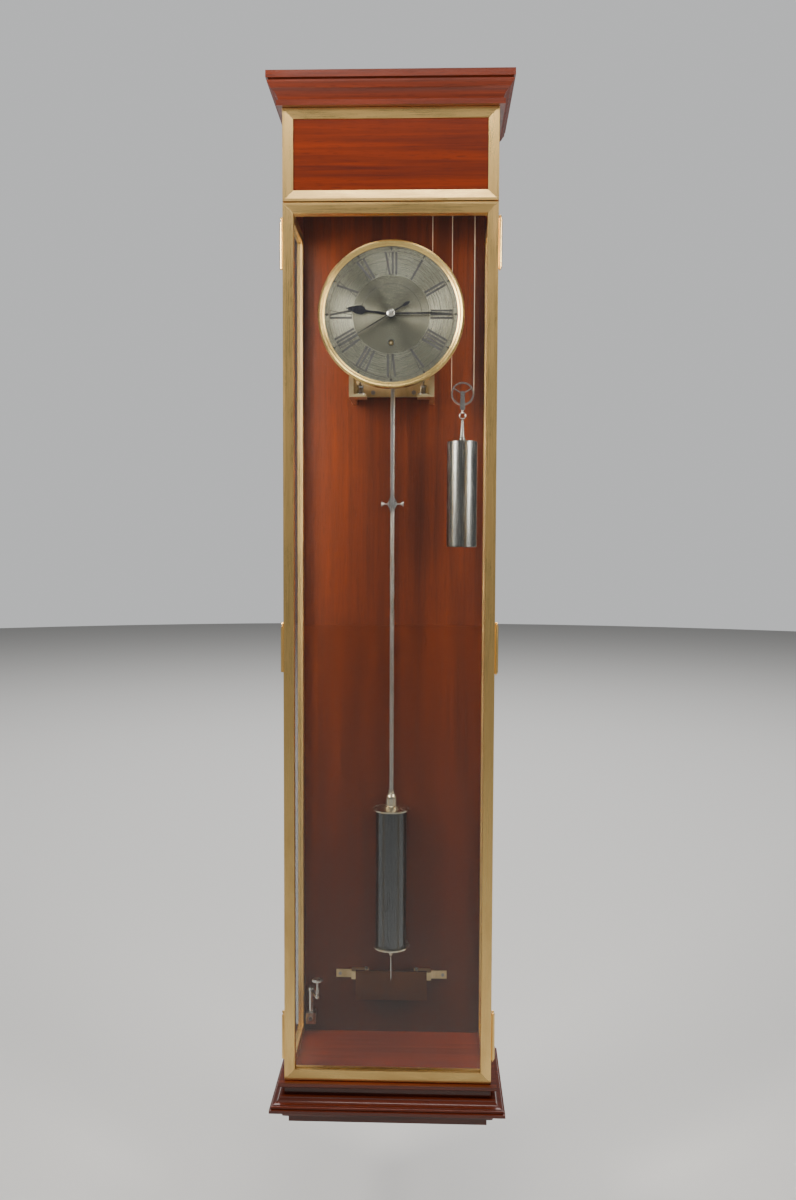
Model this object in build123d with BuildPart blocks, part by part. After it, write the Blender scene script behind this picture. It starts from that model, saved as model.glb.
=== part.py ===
from build123d import *
from math import atan2, cos, degrees, hypot, pi, radians, sin, sqrt
import os

# A weight-driven wall regulator with a seconds pendulum, in a mahogany and brass case.
# Millimetres. The wall is the plane Y = 0, the clock faces -Y, +Z is up, and the origin
# is the centre of the hanging hole on the wall. A "depth" is a distance in front of the
# wall, and a "rise" is a height over the centre of the dial.

os.makedirs("parts", exist_ok=True)

# ---- case ----
case_width = 344.0
case_depth = 200.0
door_height = 1437.0
dial_over_door_bottom = 1272.6
hanger_over_dial = 242.0
board_thick = 22.0
door_thick = 18.0
door_gap = 0.4
door_foot_gap = 1.0
member_width = 17.0
edge_break = 0.6
member_slope_width = 13.0
member_slope_drop = 1.8
side_thick = 12.0
glass_thick = 3.0
glass_rebate = 5.0
glass_play = 0.1
frieze_height = 145.0
frieze_gap = 2.0
frieze_thick = 14.0
panel_thick = 8.0
panel_setback = 3.0
head_side_thick = 12.0
cornice_out = 23.0
cornice_height = 48.0
cornice_board_thick = 11.0
floor_thick = 15.0
plinth_height = 73.0
plinth_wall = 18.0
plinth_foot_inset = 6.0
plinth_foot_thick = 12.0

# ---- hinges and latches ----
barrel_radius = 3.4
barrel_clearance = 0.1
barrel_pin_radius = 1.5
pin_fit = 0.05
hinge_height = 77.0
hinge_knuckles = 5
latch_height = 74.0
knuckle_gap = 0.3
leaf_thick = 1.4
leaf_width = 11.0
finial_radius = 3.0
# heights of the middle of each hinge and each latch over the door's bottom
hinge_centres = (door_height - 60.0, door_height / 2 + 5.3, 72.6)
latch_centres = (door_height - 63.3, door_height / 2 + 1.6, 65.2)

# ---- movement ----
back_plate_depth = 74.0
plate_thick = 3.5
pillar_length = 40.0
pillar_radius = 4.5
plate_half_width = 68.0
plate_foot_rise = -96.0
plate_top_rise = 62.0
winding_rise = -46.0
flex_rise = 30.0
great_teeth = 144
centre_teeth = 96
third_teeth = 90
pinion_leaves = 12
great_module = 0.6
centre_module = 0.5
third_module = 0.45
third_arbor_angle = radians(-13.6)
motion_teeth = 30
idler_teeth = 60
hour_leaves = 10
hour_teeth = 60
motion_module = 0.7
hour_module = 0.9
wheel_thick = 2.0
great_wheel_thick = 3.0
escape_teeth = 30
escape_radius = 21.0
nib_clearance = 1.1
arbor_radius = 1.2
pivot_fit = 0.05
winding_arbor_radius = 4.0
winding_back_pivot_radius = 2.5
winding_front_pivot_radius = 3.5
winding_square = 4.4

# ---- line, pulleys and weight ----
line_depth = 89.5
line_radius = 0.6
drum_radius = 17.4
drum_flange_radius = 21.0
drum_length = 17.0
flange_thick = 1.5
riser_x = 67.9
fall_left_x = 101.3
fall_right_x = 139.2
jockey_radius = 10.0
pulley_thick = 6.0
pulley_lip = 0.7
head_pulley_rise = 222.0
weight_pulley_rise = -121.4
weight_radius = 26.0
weight_height = 180.0
weight_top_rise = -202.4

# ---- dial and hands ----
dial_radius = 112.0
dial_thick = 2.0
dial_depth = 144.0
bezel_width = 9.0
bezel_radius = dial_radius + bezel_width
winding_hole_radius = 4.6
hour_hand_reach = 75.0
minute_hand_reach = 101.5
seconds_hand_reach = 107.5
seconds_tail_reach = 36.0
hour_hand_angle = 277.5
minute_hand_angle = 89.5
seconds_hand_angle = 239.0

# ---- pendulum ----
pendulum_depth = 60.0
rod_radius = 4.0
bob_radius = 27.5
bob_flange_radius = bob_radius + 5.5
bob_flange_thick = 2.5
bob_top_rise = -846.7
bob_bottom_rise = -1097.0
collar_height = 32.4
beat_fitting_rise = -307.9
pointer_tip_rise = -1163.0

# ---- beat plate, crank and its holder ----
beat_plate_half_width = 64.5
beat_plate_height = 52.8
beat_plate_top_rise = -1152.4
beat_plate_depth = 40.0
beat_plate_thick = 2.0
beat_plate_return = 2.5
crank_x = -146.0
crank_depth = 36.0
crank_foot_rise = -1231.0
crank_arm_rise = -1190.0
crank_handle_x = -131.0
crank_handle_depth = 68.0
crank_disc_radius = 10.0

# ---- places that follow from them ----
half_width = case_width / 2
dial_z = -hanger_over_dial
door_z = dial_z - dial_over_door_bottom
door_top_z = door_z + door_height
case_foot_z = door_z - door_foot_gap
frieze_z = door_top_z + frieze_gap
head_top_z = frieze_z + frieze_height
crown_z = head_top_z + cornice_height
foot_z = case_foot_z - plinth_height
door_back = case_depth - door_thick
side_front = door_back - door_gap
barrel_x = half_width + barrel_radius + barrel_clearance
barrel_depth = side_front + door_gap / 2
front_plate_depth = back_plate_depth + plate_thick + pillar_length
movement_front = front_plate_depth + plate_thick
gear_back = back_plate_depth + plate_thick


def front(depth):
    """The plane at this depth, seen from the front: X to the right, Z up."""
    return Plane(origin=(0, -depth, 0), x_dir=(1, 0, 0), z_dir=(0, -1, 0))


def level(height):
    """The level plane at this height, seen from above."""
    return Plane.XY.offset(height)


def on_dial(x, rise):
    """A point given from the dial's centre, as X and Z."""
    return (x, dial_z + rise)


def block(x_low, x_high, near, far, low, high, mode=Mode.ADD):
    """A box between two widths, from depth near to depth far, between two heights."""
    with Locations(((x_low + x_high) / 2, -(near + far) / 2, (low + high) / 2)):
        Box(x_high - x_low, far - near, high - low, mode=mode)


def bar(centre, radius, near, far, mode=Mode.ADD):
    """A round bar that points to the front, from depth near to depth far."""
    with BuildSketch(front(near)) as section:
        with Locations(centre):
            Circle(radius)
    extrude(to_extrude=section.sketch, amount=far - near, mode=mode)


def post(x, depth, radius, low, high, mode=Mode.ADD):
    """An upright round bar."""
    with BuildSketch(level(low)) as section:
        with Locations((x, -depth)):
            Circle(radius)
    extrude(to_extrude=section.sketch, amount=high - low, mode=mode)


def cut_out(outline, near, far, mode=Mode.ADD):
    """A flat piece with a straight-sided outline, from depth near to depth far."""
    with BuildSketch(front(near)) as section:
        with BuildLine():
            Polyline(*outline, close=True)
        make_face()
    extrude(to_extrude=section.sketch, amount=far - near, mode=mode)


def turned_upright(x, depth, outline):
    """A piece turned about an upright axis, from its (radius, height) points."""
    with BuildSketch(Plane(origin=(x, -depth, 0), x_dir=(1, 0, 0), z_dir=(0, -1, 0))) as section:
        with BuildLine():
            Polyline(*outline, close=True)
        make_face()
    revolve(profiles=section.sketch, axis=Axis((x, -depth, 0), (0, 0, 1)))


def turned_facing(centre, outline):
    """A piece turned about an axis that points to the front, from (radius, depth) points."""
    x, z = centre
    with BuildSketch(Plane(origin=(x, 0, z), x_dir=(1, 0, 0), z_dir=(0, 0, 1))) as section:
        with BuildLine():
            Polyline(*[(radius, -depth) for radius, depth in outline], close=True)
        make_face()
    revolve(profiles=section.sketch, axis=Axis((x, 0, z), (0, 1, 0)))


def save(piece, name):
    piece.part.label = name
    export_step(piece.part, f"parts/{name}.step")


# ---- back board, with a pocket for the hanging plate ----
hanging_plate_half_width = 30.0
hanging_plate_half_height = 20.0
hanging_plate_thick = 3.0
hanging_hole_radius = 4.5
bolt_head_radius = 12.0
bolt_head_room = 12.0

with BuildPart() as back_board:
    block(-half_width, half_width, 0, board_thick, foot_z, crown_z - cornice_board_thick)
    block(-hanging_plate_half_width, hanging_plate_half_width, 0, hanging_plate_thick,
          -hanging_plate_half_height, hanging_plate_half_height, Mode.SUBTRACT)
    bar((0, 0), bolt_head_radius, 0, hanging_plate_thick + bolt_head_room, Mode.SUBTRACT)
save(back_board, "back_board")

with BuildPart() as hanging_plate:
    block(-hanging_plate_half_width, hanging_plate_half_width, 0, hanging_plate_thick,
          -hanging_plate_half_height, hanging_plate_half_height)
    bar((0, 0), hanging_hole_radius, 0, hanging_plate_thick, Mode.SUBTRACT)
save(hanging_plate, "hanging_plate")


# ---- mouldings that run round the front and both sides ----
def moulding(profile_edges, top):
    """Sweep a profile, given as (out, down) from the case face, round three sides."""
    start = Plane(origin=(-half_width, 0, top), x_dir=(-1, 0, 0), z_dir=(0, -1, 0))
    with BuildLine() as path:
        Polyline((-half_width, 0, top), (-half_width, -case_depth, top),
                 (half_width, -case_depth, top), (half_width, 0, top))
    with BuildSketch(start) as profile:
        with BuildLine():
            profile_edges()
        make_face()
    sweep(sections=profile.sketch, path=path.line, transition=Transition.RIGHT)


def cornice_profile():
    board = cornice_board_thick
    Polyline((0, 0), (cornice_out, 0), (cornice_out, board), (cornice_out - 6, board),
             (cornice_out - 6, board + 3), (cornice_out - 2, board + 3),
             (cornice_out - 2, board + 6), (cornice_out - 4, board + 8))
    Line((cornice_out - 4, board + 8), (cornice_out - 7, board + 13))
    ThreePointArc((cornice_out - 7, board + 13), (8.5, 31), (5.5, 39))
    Polyline((5.5, 39), (8.5, 39.5), (8.5, cornice_height), (0, cornice_height), (0, 0))


def plinth_band_profile():
    Polyline((0, 0), (9.5, 0), (9.5, 5.5), (8, 7), (0, 7), (0, 0))


def plinth_base_profile():
    Polyline((0, 0), (8, 0), (8, 2))
    ThreePointArc((8, 2), (11.5, 7), (17, 9.5))
    Line((17, 9.5), (17, 11))
    ThreePointArc((17, 11), (20, 13), (19, 16))
    Polyline((19, 16), (23, 16.5), (23, 21.5), (18, 23))
    ThreePointArc((18, 23), (8, 27), (3, 36))
    Polyline((3, 36), (0, 37.5), (0, 0))


with BuildPart() as cornice:
    moulding(cornice_profile, crown_z)
    block(-half_width, half_width, 0, case_depth, crown_z - cornice_board_thick, crown_z)
save(cornice, "cornice")

plinth_base_drop = 23.0
with BuildPart() as plinth_mouldings:
    moulding(plinth_band_profile, case_foot_z)
    moulding(plinth_base_profile, case_foot_z - plinth_base_drop)
save(plinth_mouldings, "plinth_mouldings")

# ---- plinth carcase, its foot board and the floor of the case ----
with BuildPart() as plinth_carcase:
    block(-half_width, half_width, board_thick, case_depth,
          foot_z + plinth_foot_thick, case_foot_z)
    block(-half_width + plinth_wall, half_width - plinth_wall, board_thick,
          case_depth - plinth_wall, foot_z + plinth_foot_thick, case_foot_z, Mode.SUBTRACT)
    block(-half_width + plinth_foot_inset, half_width - plinth_foot_inset, board_thick,
          case_depth - plinth_foot_inset, foot_z, foot_z + plinth_foot_thick)
save(plinth_carcase, "plinth_carcase")

with BuildPart() as floor_board:
    block(-half_width + plinth_wall, half_width - plinth_wall, board_thick,
          case_depth - plinth_wall, case_foot_z - floor_thick, case_foot_z)
save(floor_board, "floor_board")


# ---- brass frames: four mitred members round a pane ----
def pane_frame(low, high, near, far, bottom, top, rebate_near, pane):
    """A frame with an opening one member in, and a groove that holds the pane."""
    block(low, high, near, far, bottom, top)
    block(low + member_width, high - member_width, near, far,
          bottom + member_width, top - member_width, Mode.SUBTRACT)
    reach = member_width - glass_rebate - glass_play
    block(low + reach, high - reach, rebate_near - glass_play, rebate_near + pane + glass_play,
          bottom + reach, top - reach, Mode.SUBTRACT)


def slope_members(low, high, front_depth, bottom, top):
    """Plane the front of all four members down towards the opening, mitred at the corners."""
    middle = ((low + high) / 2, (bottom + top) / 2)
    wide = high - low - 2 * member_width
    tall = top - bottom - 2 * member_width
    with BuildSketch(front(front_depth)) as rim:
        with Locations(middle):
            Rectangle(wide + 2 * member_slope_width, tall + 2 * member_slope_width)
    with BuildSketch(front(front_depth - member_slope_drop)) as foot:
        with Locations(middle):
            Rectangle(wide, tall)
    loft(sections=[rim.sketch, foot.sketch], mode=Mode.SUBTRACT)


def pane_box(low, high, bottom, top, near, pane):
    reach = member_width - glass_rebate
    block(low + reach, high - reach, near, near + pane, bottom + reach, top - reach)


def leaf_pocket(side, centre, height, near, far):
    """A shallow recess for a hinge leaf at one edge of the case."""
    inner = half_width - leaf_width
    low, high = sorted((side * inner, side * half_width))
    block(low, high, near, far, door_z + centre - height / 2, door_z + centre + height / 2,
          Mode.SUBTRACT)


door_glass_near = door_back + (door_thick - glass_thick) / 2

with BuildPart() as door_frame:
    pane_frame(-half_width, half_width, door_back, case_depth, door_z, door_top_z,
               door_glass_near, glass_thick)
    front_face = door_frame.faces().sort_by(Axis.Y)[0]
    chamfer(front_face.outer_wire().edges(), edge_break)
    slope_members(-half_width, half_width, case_depth, door_z, door_top_z)
    for centre in hinge_centres:
        leaf_pocket(1, centre, hinge_height, door_back, door_back + leaf_thick)
    for centre in latch_centres:
        leaf_pocket(-1, centre, latch_height, door_back, door_back + leaf_thick)
save(door_frame, "door_frame")

with BuildPart() as door_glass:
    pane_box(-half_width, half_width, door_z, door_top_z, door_glass_near, glass_thick)
save(door_glass, "door_glass")

frieze_back = case_depth - frieze_thick
frieze_panel_near = case_depth - panel_setback - panel_thick

with BuildPart() as frieze_frame:
    pane_frame(-half_width, half_width, frieze_back, case_depth, frieze_z, head_top_z,
               frieze_panel_near, panel_thick)
    front_face = frieze_frame.faces().sort_by(Axis.Y)[0]
    chamfer(front_face.outer_wire().edges(), edge_break)
    slope_members(-half_width, half_width, case_depth, frieze_z, head_top_z)
save(frieze_frame, "frieze_frame")

with BuildPart() as head_panels:
    pane_box(-half_width, half_width, frieze_z, head_top_z, frieze_panel_near, panel_thick)
    for side in (-1, 1):
        low, high = sorted((side * (half_width - head_side_thick), side * half_width))
        block(low, high, board_thick, frieze_back, door_top_z, head_top_z)
save(head_panels, "head_panels")

side_glass_inner = half_width - (side_thick + glass_thick) / 2

with BuildPart() as side_frames:
    for side in (-1, 1):
        low, high = sorted((side * (half_width - side_thick), side * half_width))
        block(low, high, board_thick, side_front, case_foot_z, door_top_z)
        block(low, high, board_thick + member_width, side_front - member_width,
              door_z + member_width, door_top_z - member_width, Mode.SUBTRACT)
        low, high = sorted((side * side_glass_inner, side * (side_glass_inner + glass_thick)))
        reach = member_width - glass_rebate - glass_play
        block(low - glass_play, high + glass_play, board_thick + reach, side_front - reach,
              door_z + reach, door_top_z - reach, Mode.SUBTRACT)
    for centre in hinge_centres:
        leaf_pocket(1, centre, hinge_height, side_front - leaf_thick, side_front)
    for centre in latch_centres:
        leaf_pocket(-1, centre, latch_height, side_front - leaf_thick, side_front)
save(side_frames, "side_frames")

with BuildPart() as side_glasses:
    for side in (-1, 1):
        low, high = sorted((side * side_glass_inner, side * (side_glass_inner + glass_thick)))
        reach = member_width - glass_rebate
        block(low, high, board_thick + reach, side_front - reach,
              door_z + reach, door_top_z - reach)
save(side_glasses, "side_glasses")


# ---- hinge knuckles on the right, latch knuckles on the left ----
def leaf(side, centre, height, near, far):
    low, high = sorted((side * (half_width - leaf_width), side * half_width))
    block(low, high, near, far, door_z + centre - height / 2, door_z + centre + height / 2)


def knuckle(side, low, high, near, far, slotted=False):
    """One barrel on its web, bored for the pin."""
    x = side * barrel_x
    web_low, web_high = sorted((side * half_width, x))
    block(web_low, web_high, near, far, low, high)
    post(x, barrel_depth, barrel_radius, low, high)
    post(x, barrel_depth, barrel_pin_radius + pin_fit, low, high, Mode.SUBTRACT)
    if slotted:
        slot = barrel_pin_radius + pin_fit
        block(x - slot, x + slot, barrel_depth - barrel_radius - 1, barrel_depth,
              low, high, Mode.SUBTRACT)


def knuckle_span(centre, height, count, index):
    """Heights of one knuckle of a barrel that is divided evenly."""
    pitch = height / count
    low = door_z + centre - height / 2 + index * pitch
    return low + knuckle_gap / 2, low + pitch - knuckle_gap / 2


case_leaf = (side_front - leaf_thick, side_front)
door_leaf = (door_back, door_back + leaf_thick)

with BuildPart() as case_knuckles:
    for centre in hinge_centres:
        leaf(1, centre, hinge_height, *case_leaf)
        for index in range(0, hinge_knuckles, 2):
            knuckle(1, *knuckle_span(centre, hinge_height, hinge_knuckles, index), *case_leaf)
    for centre in latch_centres:
        leaf(-1, centre, latch_height, *case_leaf)
        knuckle(-1, *knuckle_span(centre, latch_height, 2, 0), *case_leaf)
save(case_knuckles, "case_knuckles")

with BuildPart() as door_knuckles:
    for centre in hinge_centres:
        leaf(1, centre, hinge_height, *door_leaf)
        for index in range(1, hinge_knuckles, 2):
            knuckle(1, *knuckle_span(centre, hinge_height, hinge_knuckles, index), *door_leaf)
    for centre in latch_centres:
        leaf(-1, centre, latch_height, *door_leaf)
        knuckle(-1, *knuckle_span(centre, latch_height, 2, 1), *door_leaf, slotted=True)
save(door_knuckles, "door_knuckles")

with BuildPart() as hinge_pins:
    for centre in hinge_centres:
        low = door_z + centre - hinge_height / 2
        high = low + hinge_height
        turned_upright(barrel_x, barrel_depth, (
            (0, low - 6), (1, low - 3.5), (2.6, low - 2), (2.6, low), (barrel_pin_radius, low),
            (barrel_pin_radius, high), (2.6, high), (2.6, high + 1), (1.6, high + 2),
            (2.4, high + 3.4), (1.8, high + 5.2), (0, high + 6)))
save(hinge_pins, "hinge_pins")

for name, centre in zip(("top", "middle", "bottom"), latch_centres):
    with BuildPart() as latch_pin:
        high = door_z + centre + latch_height / 2
        low = high - latch_height
        turned_upright(-barrel_x, barrel_depth, (
            (0, low + 1), (barrel_pin_radius, low + 2), (barrel_pin_radius, high + 0.1),
            (2.8, high + 0.1), (2.8, high + 1), (1.4, high + 2), (1.4, high + 3),
            (2.4, high + 4), (finial_radius, high + 6), (2.4, high + 8), (0, high + 9)))
    save(latch_pin, f"latch_pin_{name}")

# ---- bracket that carries the movement, and its levelling screws ----
bracket_half_width = 72.0
bracket_thick = 5.0
bracket_foot_rise = -130.6
bracket_back_foot_rise = -117.5
bracket_top_rise = 56.0
cheek_thick = 8.0
cheek_front = 118.0
foot_shelf_thick = 4.6
foot_shelf_back = 86.0
lower_pillar_x = 53.6
lower_pillar_rise = -90.0
upper_pillar_x = 58.0
upper_pillar_rise = 52.0
bracket_pillar_rise = 40.0
levelling_depth = 101.0
shelf_rise = bracket_foot_rise + foot_shelf_thick

with BuildPart() as movement_bracket:
    block(-bracket_half_width, bracket_half_width, board_thick, board_thick + bracket_thick,
          dial_z + bracket_back_foot_rise, dial_z + bracket_top_rise)
    for side in (-1, 1):
        inner = bracket_half_width - cheek_thick
        low, high = sorted((side * inner, side * bracket_half_width))
        block(low, high, board_thick + bracket_thick, cheek_front,
              dial_z + bracket_foot_rise, dial_z + plate_foot_rise)
        low, high = sorted((side * (lower_pillar_x - 10.5), side * inner))
        block(low, high, foot_shelf_back, cheek_front,
              dial_z + bracket_foot_rise, dial_z + shelf_rise)
save(movement_bracket, "movement_bracket")

with BuildPart() as levelling_screws:
    foot = dial_z + shelf_rise
    tip = dial_z + lower_pillar_rise - pillar_radius - 0.2
    for side in (-1, 1):
        turned_upright(side * lower_pillar_x, levelling_depth, (
            (0, foot), (9.4, foot), (10.1, foot + 1), (10.1, foot + 2.6), (9.4, foot + 3.4),
            (7.4, foot + 4.4), (5.6, foot + 9), (5.2, foot + 13), (6, foot + 15),
            (5.4, foot + 17.5), (2, foot + 18.5), (2, tip), (0, tip)))
save(levelling_screws, "levelling_screws")

# ---- arbor places in the train ----
winding = (0.0, winding_rise)
third_distance = third_module * (third_teeth + pinion_leaves) / 2
centre_distance = centre_module * (centre_teeth + pinion_leaves) / 2
great_distance = great_module * (great_teeth + pinion_leaves) / 2
third = (third_distance * cos(third_arbor_angle), third_distance * sin(third_arbor_angle))


def meeting_point(a, reach_a, b, reach_b):
    """The point at the two given distances from a and b, on the right of the way to b."""
    gap = hypot(b[0] - a[0], b[1] - a[1])
    along = (reach_a ** 2 - reach_b ** 2 + gap ** 2) / (2 * gap)
    across = sqrt(reach_a ** 2 - along ** 2)
    ux, uz = (b[0] - a[0]) / gap, (b[1] - a[1]) / gap
    return (a[0] + along * ux + across * uz, a[1] + along * uz - across * ux)


minute = meeting_point(winding, great_distance, third, centre_distance)
idler_distance = motion_module * (motion_teeth + idler_teeth) / 2
idler = meeting_point(minute, idler_distance, (0.0, 0.0), idler_distance)
escape = (0.0, 0.0)
pallet = (0.0, flex_rise)


def direction(a, b):
    return atan2(b[1] - a[1], b[0] - a[0])


def meshing(teeth, phase, mate_teeth, way):
    """The mate's phase, so that its gap meets this wheel's tooth on the line of centres."""
    return way + pi + (pi - teeth * (phase - way)) / mate_teeth


def gear_face(centre, teeth, module, phase, tooth_width, addendum, dedendum, depth,
              spokes=0, bore=0):
    """Clock teeth: radial flanks below the pitch circle and rounded ogives over it."""
    pitch = teeth * module / 2
    tip, root = pitch + addendum * module, pitch - dedendum * module
    half = tooth_width * module / 2 / pitch
    shoulder = pitch + 0.6 * addendum * module
    foot = root - 0.2

    def at(radius, angle):
        return (radius * cos(angle), radius * sin(angle))

    with BuildSketch() as tooth:
        with BuildLine():
            Line(at(tip, -0.2 * half), at(tip, 0.2 * half))
            ThreePointArc(at(tip, 0.2 * half), at(shoulder, 0.7 * half), at(pitch, half))
            Polyline(at(pitch, half), at(foot, half), at(foot, -half), at(pitch, -half))
            ThreePointArc(at(pitch, -half), at(shoulder, -0.7 * half), at(tip, -0.2 * half))
        make_face()
    with BuildSketch(front(depth)) as face:
        with Locations(on_dial(*centre)):
            Circle(root)
            if spokes:
                rim = root - 2.2
                Circle(rim, mode=Mode.SUBTRACT)
                Circle(max(rim * 0.3, bore + 2))
                with PolarLocations(rim / 2, spokes):
                    Rectangle(rim, rim * 0.12)
            if bore:
                Circle(bore, mode=Mode.SUBTRACT)
            with PolarLocations(0, teeth, start_angle=degrees(phase)):
                add(tooth.sketch)
    return face.sketch


def wheel(centre, teeth, module, phase, near, thick, spokes=5, bore=0):
    """A brass wheel, crossed out where it has spokes."""
    face = gear_face(centre, teeth, module, phase, 1.45, 1.0, 1.0, near, spokes, bore)
    extrude(to_extrude=face, amount=thick)


def pinion(centre, leaves, module, phase, near, thick, bore=0):
    """A pinion with thin leaves."""
    face = gear_face(centre, leaves, module, phase, 1.05, 0.5, 1.4, near, 0, bore)
    extrude(to_extrude=face, amount=thick)


def arbor(centre, near, far):
    """A plain arbor with thinner pivots that run in both plates."""
    bar(on_dial(*centre), arbor_radius, near, far)


great_phase = direction(winding, minute)
centre_pinion_phase = meshing(great_teeth, great_phase, pinion_leaves,
                              direction(winding, minute))
centre_phase = direction(minute, third)
third_pinion_phase = meshing(centre_teeth, centre_phase, pinion_leaves, direction(minute, third))
third_phase = direction(third, escape)
escape_pinion_phase = meshing(third_teeth, third_phase, pinion_leaves, direction(third, escape))
driver_phase = direction(minute, idler)
idler_phase = meshing(motion_teeth, driver_phase, idler_teeth, direction(minute, idler))
minute_phase = meshing(idler_teeth, idler_phase, motion_teeth, direction(idler, escape))
hour_pinion_phase = direction(idler, escape)
hour_phase = meshing(hour_leaves, hour_pinion_phase, hour_teeth, direction(idler, escape))

escape_near = gear_back + 3.0
escape_pinion_near = gear_back + 7.5
third_near = gear_back + 9.0
third_pinion_near = gear_back + 15.0
centre_near = gear_back + 17.0
centre_pinion_near = gear_back + 22.0
great_near = gear_back + 23.5
pinion_length = 6.0
motion_near = movement_front + 2.5
hour_near = movement_front + 7.0

# ---- winding drum on its arbor, with the ratchet, and the great wheel ----
drum_near = line_depth - drum_length / 2
drum_far = line_depth + drum_length / 2
ratchet_near = great_near + great_wheel_thick + 0.5
ratchet_teeth = 24
ratchet_radius = 12.0
square_tip = dial_depth + dial_thick + 1.0

with BuildPart() as winding_drum:
    centre = on_dial(*winding)
    bar(centre, winding_arbor_radius, gear_back + 1, front_plate_depth - 0.5)
    bar(centre, winding_back_pivot_radius, back_plate_depth, gear_back + 1)
    bar(centre, winding_front_pivot_radius, front_plate_depth - 0.5, movement_front + 1)
    with BuildSketch(front(movement_front + 1)) as square:
        with Locations(centre):
            Rectangle(winding_square, winding_square, rotation=45)
    extrude(to_extrude=square.sketch, amount=square_tip - movement_front - 1)
    bar(centre, drum_radius, drum_near, drum_far)
    bar(centre, drum_flange_radius, drum_near - flange_thick, drum_near)
    bar(centre, drum_flange_radius, drum_far, drum_far + flange_thick)
    bar(centre, ratchet_radius, ratchet_near, ratchet_near + wheel_thick)
    with BuildSketch(front(ratchet_near)) as notches:
        with Locations(centre):
            with PolarLocations(ratchet_radius, ratchet_teeth):
                with BuildLine():
                    Polyline((-1.6, -0.2), (0.6, -0.2), (0.6, 2.4), close=True)
                make_face()
    extrude(to_extrude=notches.sketch, amount=wheel_thick, mode=Mode.SUBTRACT)
save(winding_drum, "winding_drum")

with BuildPart() as great_wheel:
    click_foot = great_near + great_wheel_thick
    click_x, click_z = on_dial(winding[0] + ratchet_radius + 5.5, winding[1] + 2)
    bar((click_x, click_z), 2.6, click_foot, click_foot + wheel_thick + 0.5)
    cut_out(((click_x - 1, click_z - 2), (click_x + 1.6, click_z),
             (click_x - 0.6, click_z + 13), (click_x - 3.2, click_z + 12)),
            click_foot + 0.5, click_foot + 0.5 + wheel_thick)
    wheel(winding, great_teeth, great_module, great_phase, great_near, great_wheel_thick,
          6, winding_arbor_radius)
save(great_wheel, "great_wheel")

# ---- centre wheel on the minute arbor, with the first wheel of the motion work ----
with BuildPart() as centre_wheel:
    arbor(minute, back_plate_depth, motion_near)
    pinion(minute, pinion_leaves, great_module, centre_pinion_phase, centre_pinion_near,
           pinion_length)
    wheel(minute, motion_teeth, motion_module, driver_phase, motion_near, wheel_thick, 0)
    wheel(minute, centre_teeth, centre_module, centre_phase, centre_near, wheel_thick)
save(centre_wheel, "centre_wheel")

with BuildPart() as third_wheel:
    arbor(third, back_plate_depth, movement_front)
    pinion(third, pinion_leaves, centre_module, third_pinion_phase, third_pinion_near,
           pinion_length)
    wheel(third, third_teeth, third_module, third_phase, third_near, wheel_thick)
save(third_wheel, "third_wheel")

# ---- escape wheel, whose arbor carries the seconds hand ----
seconds_near = dial_depth + 12.5
hand_thick = 0.8

with BuildPart() as escape_wheel:
    x0, z0 = on_dial(*escape)
    with BuildSketch(front(escape_near)) as teeth_face:
        with BuildLine():
            for tooth in range(escape_teeth):
                angle = -2 * pi * tooth / escape_teeth
                following = angle - 2 * pi / escape_teeth
                root = escape_radius - 4.5
                tip_back = angle + 0.015
                Polyline(
                    (x0 + root * cos(angle + 0.10), z0 + root * sin(angle + 0.10)),
                    (x0 + escape_radius * cos(tip_back), z0 + escape_radius * sin(tip_back)),
                    (x0 + escape_radius * cos(angle), z0 + escape_radius * sin(angle)),
                    (x0 + root * cos(angle - 0.03), z0 + root * sin(angle - 0.03)),
                    (x0 + root * cos(following + 0.10), z0 + root * sin(following + 0.10)))
        make_face()
    extrude(to_extrude=teeth_face.sketch, amount=wheel_thick)
    with BuildSketch(front(escape_near)) as windows:
        with Locations(on_dial(*escape)):
            Circle(escape_radius - 6.2)
            Circle(4.5, mode=Mode.SUBTRACT)
            with PolarLocations(escape_radius / 2, 5):
                Rectangle(escape_radius, 1.8, mode=Mode.SUBTRACT)
    extrude(to_extrude=windows.sketch, amount=wheel_thick, mode=Mode.SUBTRACT)
    pinion(escape, pinion_leaves, third_module, escape_pinion_phase, escape_pinion_near,
           pinion_length - 1)
    bar(on_dial(*escape), arbor_radius, back_plate_depth, seconds_near)
save(escape_wheel, "escape_wheel")

# ---- pallets over the escape wheel, and the crutch on the same arbor ----
crutch_near = pendulum_depth + rod_radius + 2.2
crutch_thick = 2.0
anchor_inner = escape_radius + nib_clearance
anchor_outer = anchor_inner + 3.6

with BuildPart() as pallets:
    with BuildSketch(front(escape_near - 0.5)) as anchor:
        with Locations(on_dial(*escape)):
            Circle(anchor_outer)
            Circle(anchor_inner, mode=Mode.SUBTRACT)
            Rectangle(3 * anchor_outer, 2 * anchor_outer * sin(radians(43)),
                      align=(Align.CENTER, Align.MAX), mode=Mode.SUBTRACT)
            with Locations((0, anchor_outer * sin(radians(43)))):
                Rectangle(3 * anchor_outer, 2 * anchor_outer, align=(Align.CENTER, Align.MAX),
                          mode=Mode.SUBTRACT)
        with Locations(on_dial(*pallet)):
            Circle(4.5)
        with Locations(on_dial(0, (anchor_inner + flex_rise) / 2 + 1)):
            Rectangle(5, flex_rise - anchor_inner - 2)
        with Locations(on_dial(*pallet)):
            Circle(arbor_radius, mode=Mode.SUBTRACT)
    extrude(to_extrude=anchor.sketch, amount=wheel_thick + 1)
save(pallets, "pallets")

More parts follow.
